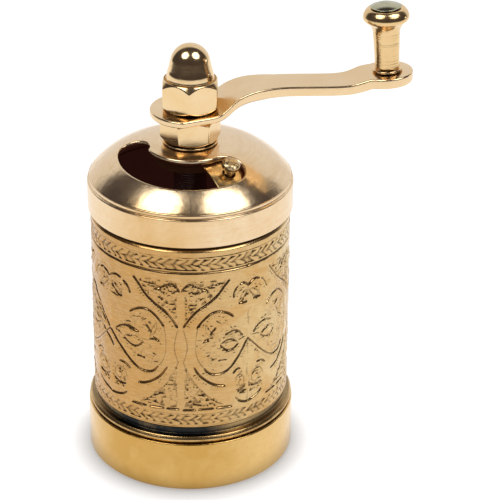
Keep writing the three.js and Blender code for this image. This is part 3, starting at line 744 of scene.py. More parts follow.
def engrave(relief):
    """All the cuts: the repeats, the rope bands, and the lines that run round the tube."""
    for axis in AXES:
        for side in (-1, 1):
            for points in STRONG:
                line = unroll(points, axis, side, 0.012)
                relief.strike(line, DEEP_CUT * RNG.uniform(0.85, 1.1))
                feather(relief, line)
            for points in FAINT:
                relief.carve(unroll(points, axis, side, 0.02), FINE_LINE, SHALLOW_CUT)
            chase(relief, axis, side)
        if axis[0] != AXES[1][0]:
            for points in OVER:
                relief.strike(unroll(points, axis, -1, 0.012), DEEP_CUT)
    rope(relief, 60.7, 63.65, 1)
    rope(relief, 18.3, 20.95, -1)
    circle = np.arange(0, 2 * math.pi * BODY_R, 0.07)
    for z, half, depth in ((59.95, 0.34, 0.34), (64.0, 0.2, 0.16), (18.0, 0.2, 0.14),
                           (21.3, 0.16, 0.10)):
        line = np.column_stack([circle, z + 0.03 * np.sin(circle / 9)])
        relief.carve(line, half, depth, taper=0)
        relief.stamp(relief.roll, line, 0.9, 0.05, taper=0)


def feather(relief, line):
    """Short shallow strokes struck square to a line, on both sides of it."""
    along = np.gradient(line, axis=0)
    for at in range(5, len(line) - 5, 10):
        if abs(along[at, 0]) > 1:
            continue
        across = np.array([-along[at, 1], along[at, 0]]) / np.linalg.norm(along[at])
        for way in (-1, 1):
            if RNG.uniform() < 0.3:
                continue
            start = line[at] + way * across * RNG.uniform(0.5, 0.7)
            stroke = np.array([start, start + way * across * RNG.uniform(0.4, 0.9)])
            relief.carve(smooth_line(stroke), 0.17, RNG.uniform(0.10, 0.22), taper=0.2)


def chase(relief, axis, side):
    """Raised leaves, hatching and punch marks in the panels and medallions."""
    def spot(offset, z):
        return math.radians(azimuth(axis, side, offset)) * BODY_R, z

    def dash(offset, z, run, rise, half=0.2, depth=0.24):
        x, z = spot(offset, z)
        line = np.array([(x, z), (x + side * run, z + rise)])
        relief.carve(smooth_line(line), half, depth, taper=0.2)

    def leaf(offset, z, long, short, lean, height=0.16):
        relief.boss(*spot(offset, z), long, short, side * lean, height)

    # rosettes: a coiled bud ringed with punch marks
    for centre, z0, r in ((6.4, 53.5, 1.5), (6.1, 27.2, 1.45)):
        x0, _ = spot(centre, z0)
        relief.boss(x0, z0, r * 0.95, r * 0.95, 0, 0.14)
        coil = np.linspace(0, 2.6 * math.pi, 60)
        reach = r * (0.25 + 0.6 * coil / coil[-1])
        relief.carve(np.column_stack([x0 + side * reach * np.cos(coil), z0 + reach * np.sin(coil)]),
                     0.19, 0.2)
        for k in range(11):
            t = 2 * math.pi * k / 11
            relief.dot(x0 + (r + 0.25) * math.cos(t), z0 + (r + 0.25) * math.sin(t), 0.3, 0.22)
    # hatching beside the stems
    for k in range(6):
        dash(2.2, 51.9 - 0.85 * k, 0.75, -0.12 + 0.06 * k)
        dash(2.4, 30.2 + 0.75 * k, 0.8 - 0.05 * k, 0.05)
    for k in range(4):
        dash(4.2 + 1.4 * k, 49.4 + 0.55 * k, 0.55, 0.35)
        dash(5.0 + 1.8 * k, 30.4 - 0.8 * k, 0.6, 0.3)
    # leaves that fill the panels' corners
    for offset, z, lean in ((12.5, 54.6, 0.5), (17.5, 55.4, 0.15), (22.0, 56.2, 0.1),
                            (11.5, 52.2, 0.9), (12.0, 26.0, -0.4), (17.0, 24.6, -0.15),
                            (22.0, 23.8, -0.1), (9.6, 28.6, -0.9), (4.6, 49.0, 1.1)):
        leaf(offset, z, 1.25, 0.5, lean)
    # leaves in the medallion
    for offset, z, long, short, lean in (
            (17.2, 44.4, 1.25, 0.75, 1.1), (28.6, 39.5, 2.5, 1.15, 0.1), (21.8, 46.2, 1.0, 0.35, -0.4),
            (14.6, 41.0, 1.1, 0.4, 0.2), (33.0, 43.9, 1.6, 0.45, -0.25), (15.6, 36.6, 1.2, 0.5, 1.3),
            (11.4, 38.6, 1.0, 0.4, 1.4), (24.0, 35.4, 1.3, 0.5, 0.0), (38.6, 40.2, 1.3, 0.5, 0.3)):
        leaf(offset, z, long, short, lean, 0.18)
    # scrolls in the corners between panels
    for offset, z, long, short, lean in ((38.3, 28.8, 1.5, 1.3, 0.0), (40.4, 52.4, 1.7, 0.8, -0.5),
                                         (36.6, 53.2, 1.1, 0.45, 0.7), (43.6, 45.3, 0.7, 0.7, 0.0),
                                         (41.0, 24.9, 1.5, 0.45, -0.1)):
        leaf(offset, z, long, short, lean, 0.15)
    # feathering in the medallion and along the arch
    for k in range(7):
        dash(24.6 + 1.35 * k, 46.2 - 0.5 * k, 0.75, -0.55, 0.17, 0.2)
        dash(13.6 + 0.5 * k, 39.0 - 0.75 * k, 0.9, 0.1, 0.17, 0.18)
        dash(11.0 + 2.9 * k, 50.4 + 0.4 * (k % 2), 0.5, 0.2, 0.16, 0.14)
    for _ in range(20):
        relief.dot(*spot(RNG.uniform(14.5, 18.4), RNG.uniform(42.8, 45.8)), 0.22, 0.15)
        relief.dot(*spot(RNG.uniform(38, 45), RNG.uniform(56.3, 57.4)), 0.2, 0.12)
        relief.dot(*spot(RNG.uniform(9.0, 12.5), RNG.uniform(36.2, 38.4)), 0.2, 0.12)


def rope(relief, low, high, lean_way):
    """A sunk band filled with two rows of slanting leaves, struck a little unevenly."""
    count, middle, half = 72, (low + high) / 2, (high - low) / 2
    pitch = 2 * math.pi * BODY_R / count
    rows = np.flatnonzero((relief.z[:, 0] > low) & (relief.z[:, 0] < high))
    z = relief.z[rows]
    x = (np.arange(relief.columns) * relief.dx)[None]
    strike = RNG.uniform(0.55, 1.1, count)
    jitter = 0.10 * soft_noise(relief.cut.shape, 9)[rows]
    aside = np.abs(z - middle)
    phase = (x - 1.05 * aside) / pitch + jitter + np.where(z > middle, 0, 0.18 * lean_way)
    leaf = np.abs(np.sin(math.pi * phase)) ** 0.6
    across = np.sqrt(np.clip(1 - ((aside - half * 0.52) / (half * 0.60)) ** 2, 0, 1))
    force = strike[np.floor(phase).astype(int) % count]
    sunk = 0.36 * (1 - leaf * across * force)
    edge = np.clip((half - aside) / 0.12, 0, 1)
    relief.cut[rows] = np.maximum(relief.cut[rows], sunk * edge)


def sunk_grounds(relief):
    """Depth of the grounds, worked over with winding scrolls and shallower at the leaves."""
    shape = relief.cut.shape
    scroll = np.exp(-(soft_noise(shape, 6.0) / 0.34) ** 2)
    finer = np.exp(-(soft_noise(shape, 4.0) / 0.30) ** 2)
    worked = 0.06 + 0.22 * scroll + 0.13 * finer
    ground = np.zeros(shape)
    for loop, strength in GROUNDS:
        ground = np.maximum(ground, relief.within(loop) * strength * worked)
    return ground * (1 - 0.75 * np.clip(relief.rise / 0.12, 0, 1))


def seams(z, angle):
    """Each seam's wavering line round the tube, and how strongly it shows up the height."""
    wave = 0.07 * np.sin(z / 3.1) + 0.04 * np.sin(z / 1.3)
    strength = np.clip(0.45 + 0.75 * np.sin(z * 0.83 + 1.0) + 0.3 * np.sin(z * 2.3), 0, 1)
    for seam in SEAMS:
        off = (np.degrees(angle)[None] - seam + 180) % 360 - 180
        yield np.exp(-((off * BODY_R * math.pi / 180 - wave) / 0.2) ** 2), strength


def worn_surface(relief, shoulder, angle):
    """The engraved face: its radius at every cell, and how dark the patina is there."""
    shape, z = relief.cut.shape, relief.z
    cut = np.maximum(relief.cut, sunk_grounds(relief))
    wear = 0.5 + 0.5 * np.clip(0.5 + 0.5 * soft_noise(shape, 14), 0, 1)
    dark = np.clip((cut - 0.12) / 0.20, 0, 1) * wear
    peened = 0.050 * soft_noise(shape, 16) + 0.026 * soft_noise(shape, 8)
    field = np.clip((z - 17.6) / 1.2, 0, 1) * np.clip((shoulder - z) / 1.5, 0.15, 1)
    surface = (BODY_R - 0.14 - cut - relief.roll + 0.35 * blur(relief.cut, 5)
               + 0.6 * relief.rise * (1 - cut / 0.4) + np.clip(peened, -0.07, 0.07) * field)
    for line, strength in seams(z, angle):
        surface = surface - 0.13 * line * strength
        dark = np.maximum(dark, 0.5 * line * strength)
    return np.minimum(surface, BODY_R), dark


def engraved_body():
    """The tube: its plain bore and ends, and the engraved face between them."""
    shoulder, neck = 65.45, 23.9
    bore = BODY_R - 1.35
    low, top = BODY_LOW.z, BODY_HIGH.z
    relief = Relief(low + 0.25, shoulder - 0.2)
    engrave(relief)
    columns = relief.columns
    angle = 2 * math.pi * np.arange(columns) / columns
    surface, dark = worn_surface(relief, shoulder, angle)

    def ring(r, height):
        return np.column_stack([r * np.cos(angle), r * np.sin(angle), np.full(columns, height)])

    rings = [ring(bore, top), ring(bore, top - 3), ring(bore, 45), ring(bore, low + 0.2),
             ring(bore + 0.15, low), ring(BODY_R - 0.35, low), ring(BODY_R - 0.17, low + 0.08)]
    inner = len(rings)
    rings += [ring(surface[row], height) for row, height in enumerate(relief.z[:, 0])]
    outer_end = len(rings)
    rings += [ring(BODY_R - 0.18, shoulder - 0.12), ring(BODY_R - 0.32, shoulder),
              ring(neck + 0.1, shoulder + 0.3), ring(neck, shoulder + 0.4),
              ring(neck, top - 0.15), ring(neck - 0.15, top)]
    points = np.concatenate(rings)
    count = len(rings)
    r0 = np.arange(count)[:, None] * columns
    r1 = (np.arange(count) + 1)[:, None] % count * columns
    here, there = np.arange(columns)[None], (np.arange(columns)[None] + 1) % columns
    quads = np.stack([r0 + here, r0 + there, r1 + there, r1 + here], -1).reshape(-1, 4)
    piece = build("engraved_body", points, quads, "housing", "mill_body", [ENGRAVED, INSIDE_SHADED],
                  "engraved_brass")
    mesh = piece.data
    patina_and_shade = np.zeros(len(points))
    patina_and_shade[inner * columns:outer_end * columns] = dark.ravel()
    patina_and_shade[(outer_end + 2) * columns:] = 1       # painted shade on the neck that enters the lid
    # the engraved attribute: patina depth in the cuts, and painted shade on the neck
    mesh.attributes.new("engraved", "FLOAT", "POINT").data.foreach_set(
        "value", patina_and_shade.astype(np.float32))
    index = np.zeros(len(mesh.polygons), np.int32)
    # the bore takes the inside material, with its painted shade and glow
    index[:3 * columns] = 1
    mesh.polygons.foreach_set("material_index", index)
    return piece


engraved_body()


# ---------- Lid, slot and shutter ----------
DOME_R, DOME_FOOT, DOME_TOP, DOME_POWER = 24.4, 75.1, 83.2, 3.6
LID_SHEET = 1.2
HOLE_R = 5.9
OUTER_ARC, INNER_ARC = ((0, -2.3), 17.3), ((0, -0.4), 10.6)
RIGHT_END, LEFT_END = ((8.7, -12.1), 4.15), ((-13.5, -2.3), 3.8)


def dome(r):
    """Height of the lid's outer surface at a radius."""
    return DOME_FOOT + (DOME_TOP - DOME_FOOT) * (1 - (r / DOME_R) ** DOME_POWER)


def under_dome(r, depth):
    """Height of the surface that lies some depth under the dome, measured square to it."""
    slope = (DOME_TOP - DOME_FOOT) * DOME_POWER / DOME_R * (r / DOME_R) ** (DOME_POWER - 1)
    return dome(r) - depth * np.hypot(1, slope)


def bearing(centre, point):
    """The angle of a point seen from a centre, in degrees."""
    return math.degrees(math.atan2(point[1] - centre[1], point[0] - centre[0]))


def meeting(a, ra, b, rb, outer_side):
    """A point where two circles cross: of the two, the one further along outer_side."""
    d = np.array(b, float) - np.array(a, float)
    length = np.linalg.norm(d)
    along = (ra ** 2 - rb ** 2 + length ** 2) / (2 * length)
    aside = math.sqrt(max(ra ** 2 - along ** 2, 0))
    base = np.array(a) + d * along / length
    across = np.array([-d[1], d[0]]) / length * aside
    return max((base + across, base - across), key=lambda p: p @ np.array(outer_side))


def slot_outline():
    """The filler slot: two arcs and two round ends, one of which bulges past the inner arc."""
    (outer, outer_r), (inner, inner_r) = OUTER_ARC, INNER_ARC
    (right, right_r), (left, left_r) = RIGHT_END, LEFT_END
    right_cross = meeting(inner, inner_r, right, right_r, (0.3, -1))
    left_cross = meeting(inner, inner_r, left, left_r, (0, -1))
    start, end = 180.0, 360 + bearing(outer, right)
    pieces = [
        arc(outer, outer_r, start, end)[:-1],
        arc(right, right_r, bearing(outer, right), bearing(right, right_cross))[1:-1],
        arc(inner, inner_r, bearing(inner, right_cross), bearing(inner, left_cross) - 360
            if bearing(inner, left_cross) > 0 else bearing(inner, left_cross)),
        arc(left, left_r, bearing(left, left_cross), 180)[1:-1],
    ]
    return np.concatenate(pieces)


def lid():
    band_bottom, band_top = LID_LOW.z, 73.9
    bore = 24.2
    join_r, facets = 22.4, 240
    slot = slot_outline()
    crown = sheet(ring_loop(join_r, facets), [slot, ring_loop(HOLE_R, 96)],
                  lambda p: dome(np.linalg.norm(p, axis=1)),
                  lambda p: under_dome(np.linalg.norm(p, axis=1), LID_SHEET),
                  polar_lattice(6.4, join_r - 0.3, 0.42), lip=0.42, under_lip=0.15,
                  open_rim=True)
    shoulder = [(r, dome(r)) for r in np.linspace(join_r, DOME_R - 0.02, 14)]
    inside_top = [(r, under_dome(r, LID_SHEET)) for r in np.linspace(22.9, join_r, 4)]
    outline = shoulder + rounded([
        (DOME_R + 0.2, DOME_FOOT - 0.1, 0.25), (DOME_R + 0.22, DOME_FOOT - 0.75, 0.2),
        (DOME_R + 0.05, band_top + 0.15, 0.1), (DOME_R + 0.2, band_top + 0.05, 0.1),
        (LID_R, band_top - 0.15, 0.45), (LID_R, band_bottom, 0.4), (bore, band_bottom, 0.15),
        (bore, 72.7, 0.2)])
    band = turned(outline + inside_top, facets, closed=False)
    points, faces = joined(crown, band)
    points, faces = outward(points, faces)
    piece = build("lid", points, faces, "housing", "lid_cap", [LID_BRASS, INSIDE_SHADED], "polished_brass")
    # the underside and bore take the inside material, with its painted shade and glow
    under = []
    for polygon in piece.data.polygons:
        c, n = polygon.center / MM, polygon.normal
        r = math.hypot(c.x, c.y)
        low = c.z < (dome(min(r, DOME_R)) - 0.75) and r < bore + 0.05
        under.append(1 if low and (n.z < 0.2 or r > 23) else 0)
    piece.data.polygons.foreach_set("material_index", under)
    return piece


lid()

SHUTTER_R, HUB_R = 21.3, 9.4
SHUTTER_DEPTH, SHUTTER_THICK = LID_SHEET + 0.35, 0.8
LEAD, LEAD_OFFSET, TRAIL = -60.0, 2.8, 92.0
PEG_R, PEG_AZIMUTH, PEG_HOLE_R = 15.0, -53.0, 1.5


def shutter():
    """The turning shutter under the lid: a sector with a hub, seen in the slot's right end."""
    along = heading(LEAD)
    aside = np.array([along[1], -along[0]]) * LEAD_OFFSET
    far = math.sqrt(SHUTTER_R ** 2 - LEAD_OFFSET ** 2)
    near = math.sqrt(HUB_R ** 2 - LEAD_OFFSET ** 2)
    rim_start = bearing((0, 0), aside + along * far)
    hub_end = bearing((0, 0), aside + along * near)
    edge = np.linspace(near, far, 26)[1:-1]
    radial = heading(TRAIL)
    outline = np.concatenate([
        arc((0, 0), SHUTTER_R, rim_start, TRAIL, 0.5),
        [radial * r for r in np.linspace(SHUTTER_R, HUB_R, 26)[1:-1]],
        arc((0, 0), HUB_R, TRAIL, 360 + hub_end, 0.5),
        [aside + along * s for s in edge]])
    points, faces = sheet(
        outline, [ring_loop(HOLE_R, 60), ring_loop(PEG_HOLE_R, 28, heading(PEG_AZIMUTH) * PEG_R)],
        lambda p: under_dome(np.linalg.norm(p, axis=1), SHUTTER_DEPTH),
        lambda p: under_dome(np.linalg.norm(p, axis=1), SHUTTER_DEPTH + SHUTTER_THICK),
        polar_lattice(6.3, SHUTTER_R, 0.8), lip=0.22, under_lip=0.1)
    return build("shutter", points, faces, "shutter", "shutter_plate", SHUTTER_BRASS,
                 "dark_brass")


shutter()


def peg():
    """The shutter's riveted peg, with a head that has been hammered over."""
    fall = float(dome(PEG_R - 0.5) - dome(PEG_R + 0.5))
    stand = (Matrix.Rotation(math.radians(PEG_AZIMUTH), 4, "Z")
             @ Matrix.Translation((PEG_R, 0, float(under_dome(PEG_R, SHUTTER_DEPTH))))
             @ Matrix.Rotation(math.atan(fall), 4, "Y"))
    profile = rounded([
        (0, -2.3), (2.1, -2.3, 0.2), (2.1, -1.4, 0.15), (1.2, -1.4, 0.05), (1.2, 1.0, 0.25),
        (1.75, 1.35, 0.25), (2.18, 2.0, 0.3), (2.2, 3.0, 0.3), (1.5, 3.5, 0.6), (0, 3.68)])
    points, faces = turned(profile, SMALL_DETAIL)
    high = points[:, 2] > 2.9
    x, y = points[:, 0], points[:, 1]
    dents = (0.07 * np.sin(3.1 * x + 1.1) * np.cos(2.7 * y - 0.6)
             + 0.05 * np.sin(5.3 * y + 0.4) * np.cos(4.9 * x))
    points[:, 2] += np.where(high, np.clip(dents, -0.2, 0.02), 0)
    return build("peg", placed(points, stand), faces, "shutter", "shutter_peg", PEG_BRASS,
                 "polished_brass")


peg()


# ---------- Nuts and shaft ----------
SHAFT_R, SHAFT_FLAT, SHAFT_BORE = 4.0, 5.6, 4.35       # the bore clears the shaft
ARM_THICK, EYE_THICK, EYE_TOP, EYE_R, ARM_HALF = 2.4, 1.55, 91.8, 9.7, 4.4
HUB_FLATS, HUB_TURN = 12.8, 8
ACORN_FLATS, ACORN_TURN = 13.0, 28


def hexagon_radius(angle, flats, corner):
    """Distance to a hexagon's side at each angle, with a corner at a given one."""
    t = (angle - corner) % 60 - 30
    return flats / 2 / np.cos(np.radians(t))


def soft_min(values, k=0.045):
    """The least of several values, with the changes from one to another smoothed."""
    values = np.stack(np.broadcast_arrays(*values))
    low = values.min(0)
    return low - k * np.log(np.exp(-(values - low) / k).sum(0))


def hex_nut(flats, corner, low, high, low_chamfer, high_chamfer, crown, bore):
    """A hexagon nut with turned chamfers. crown and bore are profiles that close it, from
    the top face inwards and down to the bottom face."""
    t = np.arange(32) / 32
    sector = 60 * (t - 0.115 * np.sin(2 * math.pi * t))
    angle = corner + np.concatenate([sector + 60 * k for k in range(6)])
    facets = len(angle)
    tip = flats / math.sqrt(3)
    edge = flats / 2 - 0.15
    heights = np.unique(np.concatenate([
        np.linspace(low + 0.12, low + low_chamfer + 0.3, 12),
        np.linspace(low + low_chamfer + 0.3, high - high_chamfer - 0.3, 8),
        np.linspace(high - high_chamfer - 0.3, high - 0.12, 16)]))
    plain = hexagon_radius(angle, flats, corner)

    def side(z):
        bottom = edge + (tip - edge) * min(1.5, (z - low) / low_chamfer)
        top = edge + (tip - edge) * min(1.5, (high - z) / high_chamfer)
        return soft_min([plain, bottom, top, tip - 0.06])

    rows = [(side(low) - 0.2, low), (side(low) - 0.1, low), (side(low + 0.03) - 0.03, low + 0.03)]
    rows += [(side(z), z) for z in heights]
    rows += [(side(high - 0.03) - 0.03, high - 0.03), (side(high) - 0.1, high),
             (side(high) - 0.2, high)]
    rows += [(np.full(facets, r), z) for r, z in crown]
    rows += [(np.full(facets, r), z) for r, z in bore]
    return lofted(rows, np.radians(angle))


def hub_nut():
    low, high = span("hub_nut")
    bore = SHAFT_BORE
    crown = [(bore + 0.3, high.z), (bore + 0.06, high.z - 0.05)]
    hole = [(bore, high.z - 0.25), (bore, low.z + 0.25), (bore + 0.06, low.z + 0.05),
            (bore + 0.3, low.z)]
    points, faces = hex_nut(HUB_FLATS, HUB_TURN, low.z, high.z, 0.9, 0.9, crown, hole)
    return build("hub_nut_piece", points, faces, "crank", "hub_nut", NUT_BRASS, "polished_brass")


def acorn_nut():
    """A hexagon under a ball on a slightly tapered collar, threaded from below."""
    low, high = span("acorn_nut")
    top, hex_top = high.z, 99.4
    neck, ball = 5.5, 4.85
    thread, roof = 3.8, 103.5
    collar = [(neck + 0.2, hex_top + 0.3), (5.66, 99.8), (5.58, 100.5), (5.5, 101.1), (5.33, 101.6),
              (5.05, 102.8), (4.78, 104.0)]
    turn = np.radians(np.linspace(13, 90, 22))
    knots = collar + list(zip(ball * np.cos(turn), top - ball + ball * np.sin(turn)))
    crown = rounded([(neck + 0.7, hex_top), (neck, hex_top - 0.15, 0.1)])
    crown += [tuple(p) for p in smooth_line(knots, 0.14)[:-1]] + [(0, top)]
    bore = [(0, roof), (thread, roof), (thread, low.z + 0.3), (thread + 0.3, low.z)]
    points, faces = hex_nut(ACORN_FLATS, ACORN_TURN, low.z, hex_top, 1.0, 1.5, crown, bore)
    return build("acorn_nut_piece", points, faces, "crank", "acorn_nut", NUT_BRASS,
                 "polished_brass")


def drive_shaft():
    """The shaft, with the ridges of its turning where it shows through the slot."""
    low, high = span("drive_shaft")
    foot, body, flat = 3.0, SHAFT_R, SHAFT_FLAT
    shoulder, square = 26.2, span("hub_nut")[1].z - 0.2
    outline = rounded([(0, low.z), (foot, low.z, 0.3), (foot, shoulder, 0.2),
                       (body, shoulder, 0.3)])
    for z in np.arange(52, 82.4, 0.62):
        outline += [(body, z), (body - 0.03, z + 0.12), (body - 0.17, z + 0.30),
                    (body - 0.03, z + 0.48)]
    outline += rounded([(body, square - 6.4), (body, square, 0.2), (flat / 2, square, 0.1),
                        (flat / 2, EYE_TOP + 0.2, 0.1), (flat / 2 + 0.7, EYE_TOP + 0.2, 0.1),
                        (flat / 2 + 0.7, high.z, 0.5), (0, high.z)])[1:]
    points, faces = turned(outline, SMALL_DETAIL)
    return build("drive_shaft_piece", points, faces, "crank", "drive_shaft", STEEL, "steel")


def hub_washer():
    low, high = span("hub_washer")
    bore, rim = SHAFT_BORE, 6.7
    outline = rounded([(bore, low.z, 0.08), (rim, low.z, 0.15), (rim, high.z, 0.2),
                       (bore, high.z, 0.1)])
    return build("hub_washer_piece", *turned(outline), "crank", "hub_washer", NUT_BRASS,
                 "polished_brass")



# ---------- Crank arm ----------
ARM_SKEW = 0.22
PAD_X, PAD_TOP, PAD_R = 46.65, 101.4, 6.1
PAD_TILT = math.radians(3.6)
KNOB_X = 46.6


def arm_sides():
    """The arm's lower and upper edges in side view, as (x, z) curves."""
    eye_mid, pad_mid = EYE_TOP - EYE_THICK / 2, PAD_TOP - ARM_THICK / 2
    rise = math.tan(PAD_TILT)
    knots = np.array([
        (-14.0, eye_mid), (2.0, eye_mid), (7.1, eye_mid + 0.02), (9.5, 92.85), (11.9, 94.95),
        (15.5, 96.45), (21, 97.5), (27, 97.65), (35, 97.7), (38.6, 98.05), (41.2, 99.0),
        (43.4, pad_mid + (43.4 - KNOB_X) * rise), (PAD_X + 8, pad_mid + (PAD_X + 8 - KNOB_X) * rise)])
    line = smooth_line(knots, 0.25)
    along = np.gradient(line, axis=0)
    along /= np.linalg.norm(along, axis=1)[:, None]
    normal = np.column_stack([-along[:, 1], along[:, 0]])
    share = np.clip((line[:, 0] - 9) / 8, 0, 1)
    thick = EYE_THICK + (ARM_THICK - EYE_THICK) * share * share * (3 - 2 * share)
    half = (thick / 2)[:, None] * normal
    return line - half, line + half


def crank_arm():
    """The bent arm: its plan as a sheet, between the two curves of its side view."""
    lower, upper = arm_sides()

    def height(curve):
        ordered = curve[np.argsort(curve[:, 0])]
        return lambda p: np.interp(p[:, 0] + ARM_SKEW * (p[:, 1] + ARM_HALF),
                                   ordered[:, 0], ordered[:, 1])

    near, far = 180 + math.degrees(math.acos(1.8 / EYE_R)), math.degrees(math.acos(2.5 / EYE_R))
    pad = math.degrees(math.asin((ARM_HALF + 0.5) / PAD_R))

    def straight(a, b):
        count = max(2, int(math.dist(a, b) / 0.35))
        return np.column_stack([np.linspace(a[i], b[i], count, endpoint=False) for i in (0, 1)])

    near_end, far_end = EYE_R * heading(near), EYE_R * heading(far)
    pad_near = (PAD_X - PAD_R * math.cos(math.radians(pad)), -ARM_HALF - 0.5)
    pad_far = (pad_near[0], -pad_near[1])
    outline = np.concatenate([
        arc((0, 0), EYE_R, far, near)[:-1],
        straight(near_end, (8.0, -ARM_HALF - 0.9)), straight((8.0, -ARM_HALF - 0.9), (10.6, -ARM_HALF)),
        straight((10.6, -ARM_HALF), (39.5, -ARM_HALF)),
        straight((39.5, -ARM_HALF), pad_near),
        arc((PAD_X, 0), PAD_R, pad - 180, 180 - pad)[:-1],
        straight(pad_far, (37.5, ARM_HALF)), straight((37.5, ARM_HALF), (20, ARM_HALF)),
        straight((20, ARM_HALF), far_end)])
    for _ in range(3):
        outline = (outline + (np.roll(outline, 1, 0) + np.roll(outline, -1, 0)) / 2) / 2
    h = SHAFT_FLAT / 2 + 0.3
    corners = [(-h, -h), (h, -h), (h, h), (-h, h)]
    hole = np.concatenate([straight(a, b) for a, b in zip(corners, corners[1:] + corners[:1])])
    grid_x, grid_y = np.meshgrid(np.arange(-10, 54, 0.45), np.arange(-10, 10.1, 0.45))
    lattice = np.column_stack([grid_x.ravel(), grid_y.ravel()])
    points, faces = sheet(outline, [hole, ring_loop(1.9, 32, (KNOB_X, 0))],
                          height(upper), height(lower), lattice, lip=0.4, under_lip=0.3)
    return build("crank_arm_piece", points, faces, "crank", "crank_arm", ARM_BRASS,
                 "polished_brass")


crank_arm()
hub_nut()
acorn_nut()
hub_washer()
drive_shaft()


# ---------- Knob, on the leaning axis of its joint ----------
KNOB_JOINT = next(j for j in frame["joints"] if j["name"] == "knob_turn")
KNOB_LEAN = Vector((0, 0, 1)).rotation_difference(Vector(KNOB_JOINT["axis"])).to_matrix().to_4x4()
KNOB_STAND = Matrix.Translation(Vector(KNOB_JOINT["pos_m"]) / MM) @ KNOB_LEAN
RIVET_R = 1.6


def knob_grip():
    """The grip, with the fine ridges of its turning on the stem."""
    stem = [(2.95, 1.1), (2.95, 3.0), (2.98, 4.5), (3.05, 6.0), (3.12, 8.2), (3.2, 9.8)]
    flare = [(3.32, 10.4), (3.5, 10.8), (3.76, 11.3), (4.1, 11.8), (4.6, 12.3), (5.1, 12.7), (5.38, 13.05)]
    head = [(5.5, 13.4), (5.5, 13.8), (5.4, 14.2), (5.2, 14.65), (4.9, 15.1), (4.6, 15.42),
            (4.25, 15.66)]
    raw = np.array(stem + flare + head)
    reach = np.concatenate([[0], np.cumsum(np.linalg.norm(np.diff(raw, axis=0), axis=1))])
    at = np.arange(0, reach[-1], 0.09)
    r, z = np.interp(at, reach, raw[:, 0]), np.interp(at, reach, raw[:, 1])
    for _ in range(10):
        r[1:-1] = (r[:-2] + 2 * r[1:-1] + r[2:]) / 4
    cuts = RNG.uniform(0, 1, len(at)) ** 3
    on_stem = np.clip((10.4 - z) / 0.6, 0, 1) * np.clip((z - 1.4) / 0.5, 0, 1)
    r = r - 0.045 * cuts * on_stem
    outline = [(RIVET_R + 0.3, 1.1), (2.7, 1.1), (2.88, 1.16)] + list(zip(r[2:], z[2:]))
    outline += [(4.1, 15.7), (RIVET_R + 0.5, 15.7), (RIVET_R + 0.3, 15.6)]
    points, faces = turned(outline, KNOB_DETAIL)
    return build("knob_grip_piece", placed(points, KNOB_STAND), faces, "knob", "knob_grip",
                 KNOB_BRASS, "polished_brass")


def knob_rivet():
    """The rivet that the grip turns on, with a low domed head."""
    under = -ARM_THICK - 0.3
    head, rise, low = 3.65, 1.0, 16.0
    sphere = (head ** 2 + rise ** 2) / (2 * rise)
    cap = [(r, low + rise - (sphere - math.sqrt(sphere ** 2 - r ** 2)))
           for r in np.linspace(head - 0.12, 0, 16)[:-1]]
    outline = rounded([
        (0, under - 0.7), (2.2, under - 0.7, 0.4), (3.0, under, 0.1), (RIVET_R, under, 0.1),
        (RIVET_R, low, 0.1), (head - 0.1, low, 0.05)])
    outline += [(head, low + 0.06)] + cap + [(0, low + rise)]
    points, faces = turned(outline, KNOB_DETAIL)
    return build("knob_rivet_piece", placed(points, KNOB_STAND), faces, "crank", "knob_rivet",
                 CAP_STEEL, "steel")


def knob_washer():
    outline = rounded([(RIVET_R + 0.3, 0.3, 0.08), (3.6, 0.3, 0.15), (3.6, 0.8, 0.2),
                       (RIVET_R + 0.3, 0.8, 0.08)])
    points, faces = turned(outline, SMALL_DETAIL)
    return build("knob_washer_piece", placed(points, KNOB_STAND), faces, "crank", "knob_washer",
                 NUT_BRASS, "polished_brass")


knob_grip()
knob_rivet()
knob_washer()


# ---------- CAD nodes that stay, with finished metals ----------
FINISHES = {
    "lid_bush": DARK_BRASS, "shutter_wave_washer": STEEL,
    "shaft_guide": DARK_BRASS, "shaft_spring": STEEL, "spring_collar": STEEL,
    "cone_burr": IRON, "burr_nut": STEEL, "ring_burr": IRON, "burr_seat": DARK_BRASS,
    "burr_bridge": DARK_BRASS, "bridge_screw_right": STEEL, "bridge_screw_left": STEEL,
    "thrust_ball": STEEL, "adjuster_screw": DARK_BRASS, "adjuster_lock_nut": DARK_BRASS,
}
for node, finish in FINISHES.items():
    for slot in frame["nodes"][node].material_slots:
        slot.material = finish


# ---------- Floor, light and camera ----------
CAMERA_PLACE = (0, -0.430, 0.2731)              # metres
CAMERA_ANGLES = (1.958, 27.022, 0.781)          # yaw, pitch down and roll, in degrees
CAMERA_SENSOR, CAMERA_LENS = 36.0, 140.65       # millimetres

def floor():
    """A plain pale floor that glows, with a painted contact shadow: its glow is darker where
    little of the sky above it is open, most of all in front of the mill.
    """
    mesh = bpy.data.meshes.new("floor")
    side, front, back, low = 0.7, -1.2, 0.8, -0.00002
    mesh.from_pydata([(-side, front, low), (side, front, low), (side, back, low),
                      (-side, back, low)], [], [(0, 1, 2, 3)])
    plane = new_object("floor", mesh)
    made, g = new_material("floor")
    # painted contact shadow from ambient occlusion, tilted so it is darker in front of the mill
    open_sky = g.node("ShaderNodeAmbientOcclusion", {"Distance": 0.009, "Normal": (0, 0.6, 0.8)}, output=1,
                      samples=16)
    painted_glow = g.between(open_sky, 0.5, 0.91, 0.42, 1.0)
    shader = g.node("ShaderNodeBsdfPrincipled", {
        "Base Color": (0.5, 0.5, 0.505, 1), "Roughness": 0.9, "Specular IOR Level": 0.0,
        "Emission Color": (1, 1, 1, 1), "Emission Strength": painted_glow})
    g.finish(shader)
    mesh.materials.append(made)


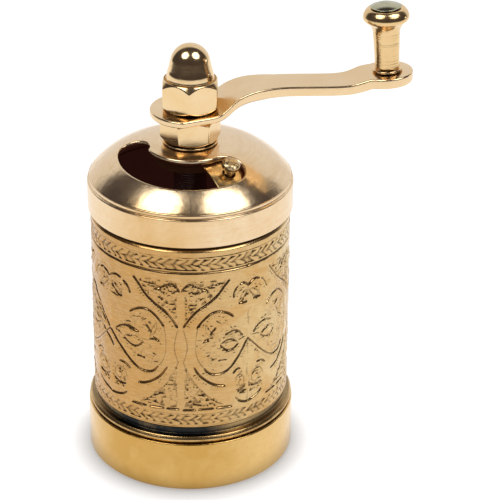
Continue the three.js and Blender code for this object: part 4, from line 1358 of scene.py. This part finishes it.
def softbox(name, bearing_deg, elevation, reach, size, radiance):
    """A round light aimed at the mill. The bearing is from the front, towards +X."""
    light = bpy.data.lights.new(name, "AREA")
    light.shape, light.size = "DISK", size
    light.energy = radiance * math.pi * math.pi * size ** 2 / 4
    b, e = math.radians(bearing_deg), math.radians(elevation)
    way = Vector((math.sin(b) * math.cos(e), -math.cos(b) * math.cos(e), math.sin(e)))
    lamp = new_object(name, light)
    lamp.location = Vector((0, 0, 0.08)) + way * reach
    lamp.rotation_euler = way.to_track_quat("Z", "Y").to_euler()
    lamp.visible_diffuse = False


def world():
    """A dim room with a pale backdrop behind the mill. Seen directly, it is plain and pale."""
    made = bpy.data.worlds.new("room")
    bpy.context.scene.world = made
    made.use_nodes = True
    g = Graph(made.node_tree)
    way = g.node("ShaderNodeTexCoord", output=0)
    x, y, _ = g.node("ShaderNodeSeparateXYZ", {0: way}).node.outputs
    facing = g.math("ADD", y, g.math("MULTIPLY", x, 0.05))
    card = g.between(facing, 0.46, 0.58)
    room = g.mix(card, (0.062, 0.052, 0.055), (0.88, 0.87, 0.88))
    seen = g.node("ShaderNodeLightPath", output=0)
    colour = g.mix(seen, room, (1.0, 1.0, 1.0))
    shader = g.node("ShaderNodeBackground", {"Color": colour, "Strength": 1.0})
    g.finish(shader, "ShaderNodeOutputWorld")


def camera():
    """Above the mill and almost straight ahead of it."""
    made = bpy.data.cameras.new("camera")
    made.sensor_width, made.lens = CAMERA_SENSOR, CAMERA_LENS
    eye = new_object("camera", made)
    yaw, pitch, roll = (math.radians(a) for a in CAMERA_ANGLES)
    ahead = Vector((math.sin(yaw) * math.cos(pitch), math.cos(yaw) * math.cos(pitch),
                    -math.sin(pitch)))
    right = Vector((math.cos(yaw), -math.sin(yaw), 0))
    up = right.cross(ahead)
    right, up = (right * math.cos(roll) + up * math.sin(roll),
                 up * math.cos(roll) - right * math.sin(roll))
    turn = Matrix((right, up, -ahead)).transposed().to_4x4()
    eye.matrix_world = Matrix.Translation(CAMERA_PLACE) @ turn
    bpy.context.scene.camera = eye


floor()
softbox("left_softbox", -52, 57, 0.9, 0.54, 4.2)
softbox("right_softbox", 57, 55, 0.9, 0.54, 4.6)
softbox("side_light", 104, 5, 0.9, 0.11, 5.0)
world()
camera()
view = bpy.context.scene.view_settings
view.view_transform, view.look = "Standard", "None"
